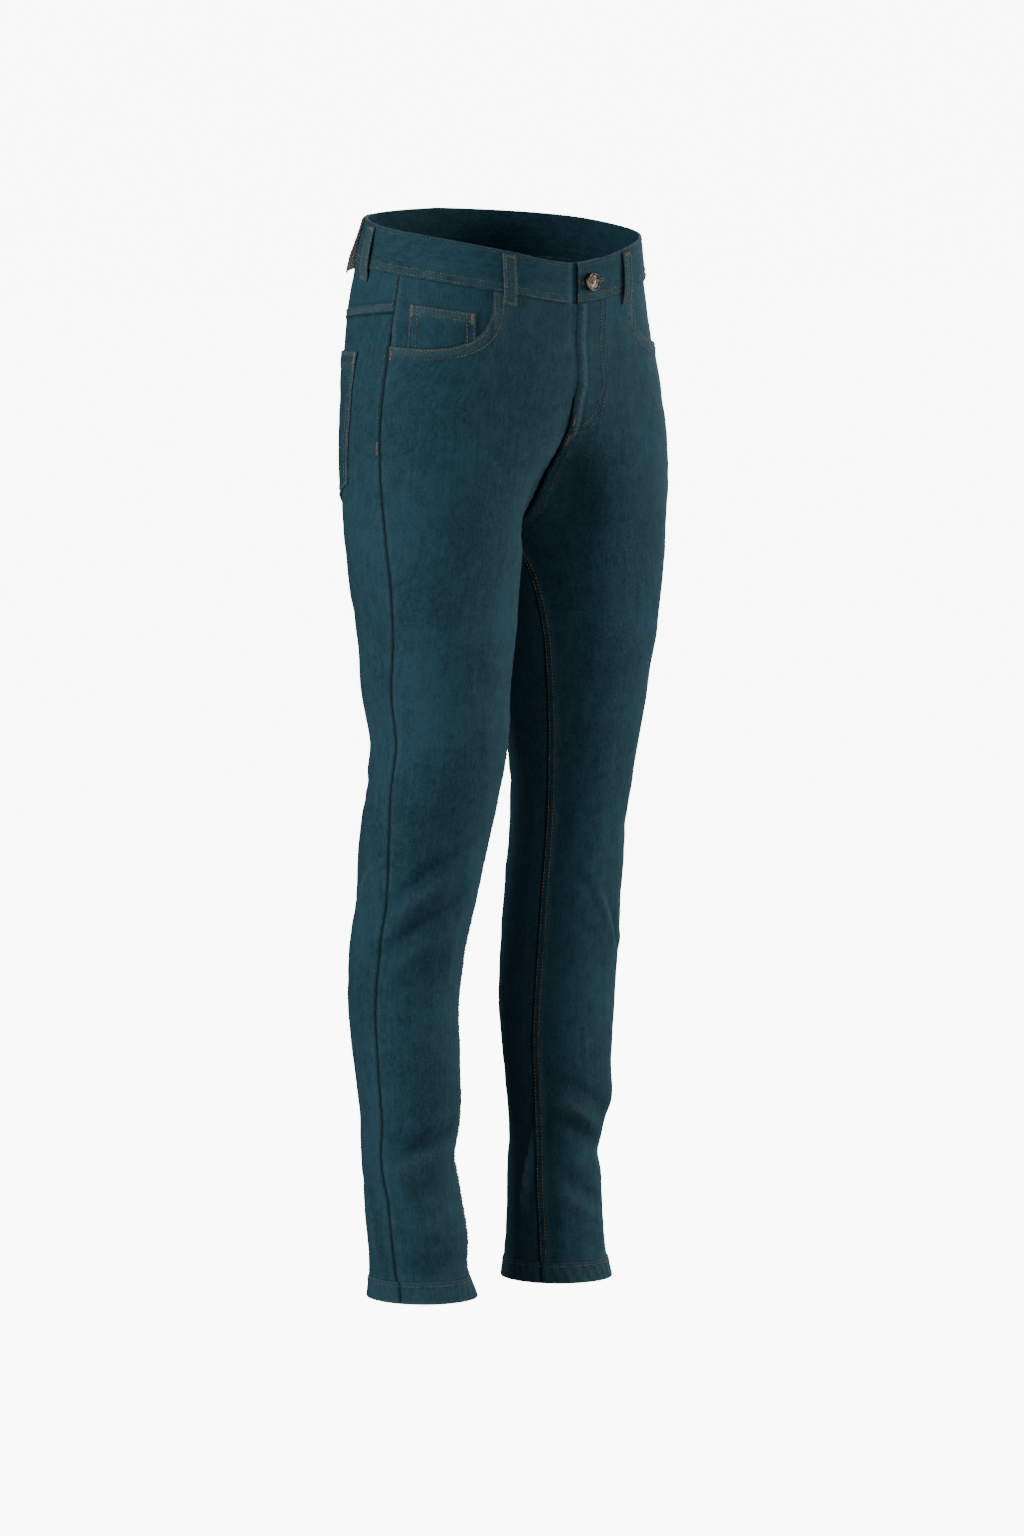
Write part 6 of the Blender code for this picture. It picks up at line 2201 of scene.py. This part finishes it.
@dataclass
class Studio:
    """The pale floor, the lights and the camera."""

    azimuth: float = 40.0
    distance: float = 7.0
    camera_height: float = 0.122
    pitch: float = 5.22
    focal_pixels: float = 7350.0
    image_width: float = 1024.0
    image_height: float = 1536.0
    sensor: float = 36.0
    waist_pixel_x: float = 503.0
    floor_level: float = -1.095
    aim: Vector = field(default_factory=lambda: Vector((0.0, 0.0, -0.50)))
    boxes: tuple[SoftBox, ...] = (
        SoftBox("key", 97.0, 2.8, 0.25, (1.2, 2.8), 88.0, (0.94, 0.98, 1.0)),
        SoftBox("front", -2.0, 3.6, -0.45, (2.0, 2.0), 27.0, (0.95, 0.985, 1.0)),
        SoftBox("left_side", -58.0, 3.0, 0.0, (1.2, 2.4), 76.0, (0.93, 0.985, 1.0)),
        SoftBox("low", 24.0, 2.6, -0.75, (1.0, 0.8), 10.0, (0.97, 0.985, 1.0)),
        SoftBox("back", 232.0, 3.2, 0.6, (2.0, 2.4), 60.0, (0.96, 0.99, 1.0)),
    )

    def make(self) -> None:
        """Builds the floor, the world, the lights and the camera."""
        self.make_camera()
        self.make_floor()
        self.make_world()
        for box in self.boxes:
            self.make_light(box)

    def direction(self, azimuth: float) -> Vector:
        """The level direction from the jeans towards an azimuth, with 0 at the front."""
        turn = math.radians(azimuth)
        return Vector((-math.sin(turn), -math.cos(turn), 0.0))

    def make_camera(self) -> None:
        """The camera, at the angle and with the framing of the reference."""
        data = bpy.data.cameras.new("camera")
        data.sensor_width = self.sensor
        data.lens = self.sensor * self.focal_pixels / self.image_height
        data.shift_x = (self.image_width / 2 - self.waist_pixel_x) / self.image_height
        data.clip_end = 60.0
        camera = bpy.data.objects.new("camera", data)
        camera.location = self.direction(self.azimuth) * self.distance + Vector((0, 0, self.camera_height))
        camera.rotation_euler = (math.radians(90 - self.pitch), 0.0, math.radians(-self.azimuth))
        bpy.context.scene.collection.objects.link(camera)
        bpy.context.scene.camera = camera

    def make_floor(self) -> None:
        """A wide pale floor."""
        mesh = bpy.data.meshes.new("floor")
        form = bmesh.new()
        bmesh.ops.create_grid(form, x_segments=1, y_segments=1, size=30.0)
        form.to_mesh(mesh)
        form.free()
        floor = bpy.data.objects.new("floor", mesh)
        floor.location = (0.0, 0.0, self.floor_level)
        bpy.context.scene.collection.objects.link(floor)
        material = bpy.data.materials.new("pale_floor")
        material.use_nodes = True
        shader = material.node_tree.nodes["Principled BSDF"]
        shader.inputs["Base Color"].default_value = (0.93, 0.935, 0.94, 1.0)
        shader.inputs["Roughness"].default_value = 0.6
        shader.inputs["Emission Color"].default_value = (1.0, 1.0, 1.0, 1.0)
        shader.inputs["Emission Strength"].default_value = 9.0
        mesh.materials.append(material)
        floor.visible_diffuse = False
        floor.visible_glossy = False
        floor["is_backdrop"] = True

    def make_world(self) -> None:
        """A white backdrop that lights the jeans only faintly."""
        world = bpy.data.worlds.new("studio")
        world.use_nodes = True
        bpy.context.scene.world = world
        tree = world.node_tree
        seen = tree.nodes.new("ShaderNodeBackground")
        seen.inputs["Color"].default_value = (1.0, 1.0, 1.0, 1.0)
        seen.inputs["Strength"].default_value = 9.0
        lit = tree.nodes["Background"]
        lit.inputs["Color"].default_value = (1.0, 0.97, 0.98, 1.0)
        lit.inputs["Strength"].default_value = 0.066
        path = tree.nodes.new("ShaderNodeLightPath")
        mix = tree.nodes.new("ShaderNodeMixShader")
        tree.links.new(path.outputs["Is Camera Ray"], mix.inputs[0])
        tree.links.new(lit.outputs[0], mix.inputs[1])
        tree.links.new(seen.outputs[0], mix.inputs[2])
        tree.links.new(mix.outputs[0], tree.nodes["World Output"].inputs["Surface"])

    def make_light(self, box: SoftBox) -> None:
        """One softbox, turned towards the jeans."""
        data = bpy.data.lights.new(box.name, "AREA")
        data.shape = "RECTANGLE"
        data.size, data.size_y = box.size
        data.energy = box.power
        data.color = box.colour
        light = bpy.data.objects.new(box.name, data)
        light.location = self.direction(box.azimuth) * box.distance + Vector((0, 0, box.height))
        light.rotation_mode = "QUATERNION"
        light.rotation_quaternion = (self.aim - light.location).to_track_quat("-Z", "Y")
        bpy.context.scene.collection.objects.link(light)


def make_workroom() -> Workroom:
    """The form, the finishes and the sewing box."""
    effects = SharedEffects()
    threads = {
        ThreadKind.BROWN: Thread("thread_brown", (0.045, 0.058, 0.058, 1.0), (0.165, 0.128, 0.106, 1.0)),
        ThreadKind.TEAL: Thread("thread_teal", (0.016, 0.050, 0.060, 1.0), (0.060, 0.100, 0.108, 1.0)),
        ThreadKind.OLIVE: Thread("thread_olive", (0.090, 0.074, 0.030, 1.0), (0.250, 0.165, 0.062, 1.0)),
        ThreadKind.TAN: Thread("thread_tan", (0.085, 0.075, 0.046, 1.0), (0.270, 0.158, 0.096, 1.0)),
        ThreadKind.DARK: Thread("thread_dark", (0.040, 0.036, 0.032, 1.0), (0.070, 0.062, 0.055, 1.0)),
    }
    tape_colours = DenimColours(body=(0.012, 0.036, 0.046, 1.0))
    return Workroom(
        form=JeansForm(),
        denim=Denim("denim_twill", effects),
        leather=PatchLeather("patch_leather_grain"),
        brass=AgedBrass("aged_brass"),
        tape=Denim("zip_tape_twill", effects, tape_colours),
        sewing=SewingBox(threads),
    )


def write_sizes() -> None:
    """Collects the solids' box and the finished box as plain numbers."""
    boxes = {"cad": CAD_BOX, "visual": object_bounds()}
    plain = {name: [[float(x) for x in corner] for corner in box] for name, box in boxes.items()}


def main() -> None:
    """Builds the jeans piece by piece, then the studio."""
    logging.basicConfig(level=logging.INFO, format="%(name)s: %(message)s")
    room = make_workroom()
    Studio().make()
    Waistband(room).make()
    for side in Side:
        kind = EdgeKind.LAP if side is Side.LEFT else EdgeKind.UNDERLAP
        FrontPanel(room, side, kind=kind).make()
        Yoke(room, side).make()
        back = BackPanel(room, side)
        back.make()
        HandPocket(room, side).make()
        BackPocket(room, side, back).make()
        Hem(room, side).make()
    loops: tuple[tuple[str, Side, float | None], ...] = (
        ("belt_loop_front_right", Side.RIGHT, 95.0),
        ("belt_loop_front_left", Side.LEFT, 95.0),
        ("belt_loop_side_right", Side.RIGHT, -20.0),
        ("belt_loop_side_left", Side.LEFT, -20.0),
        ("belt_loop_back", Side.LEFT, None),
    )
    for name, side, angle in loops:
        BeltLoop(room, name, side, angle).make()
    WaistPatch(room).make()
    ShankButton(room).make()
    Fly(room).make()
    room.sewing.build()
    write_sizes()


if __name__ == "__main__":
    main()
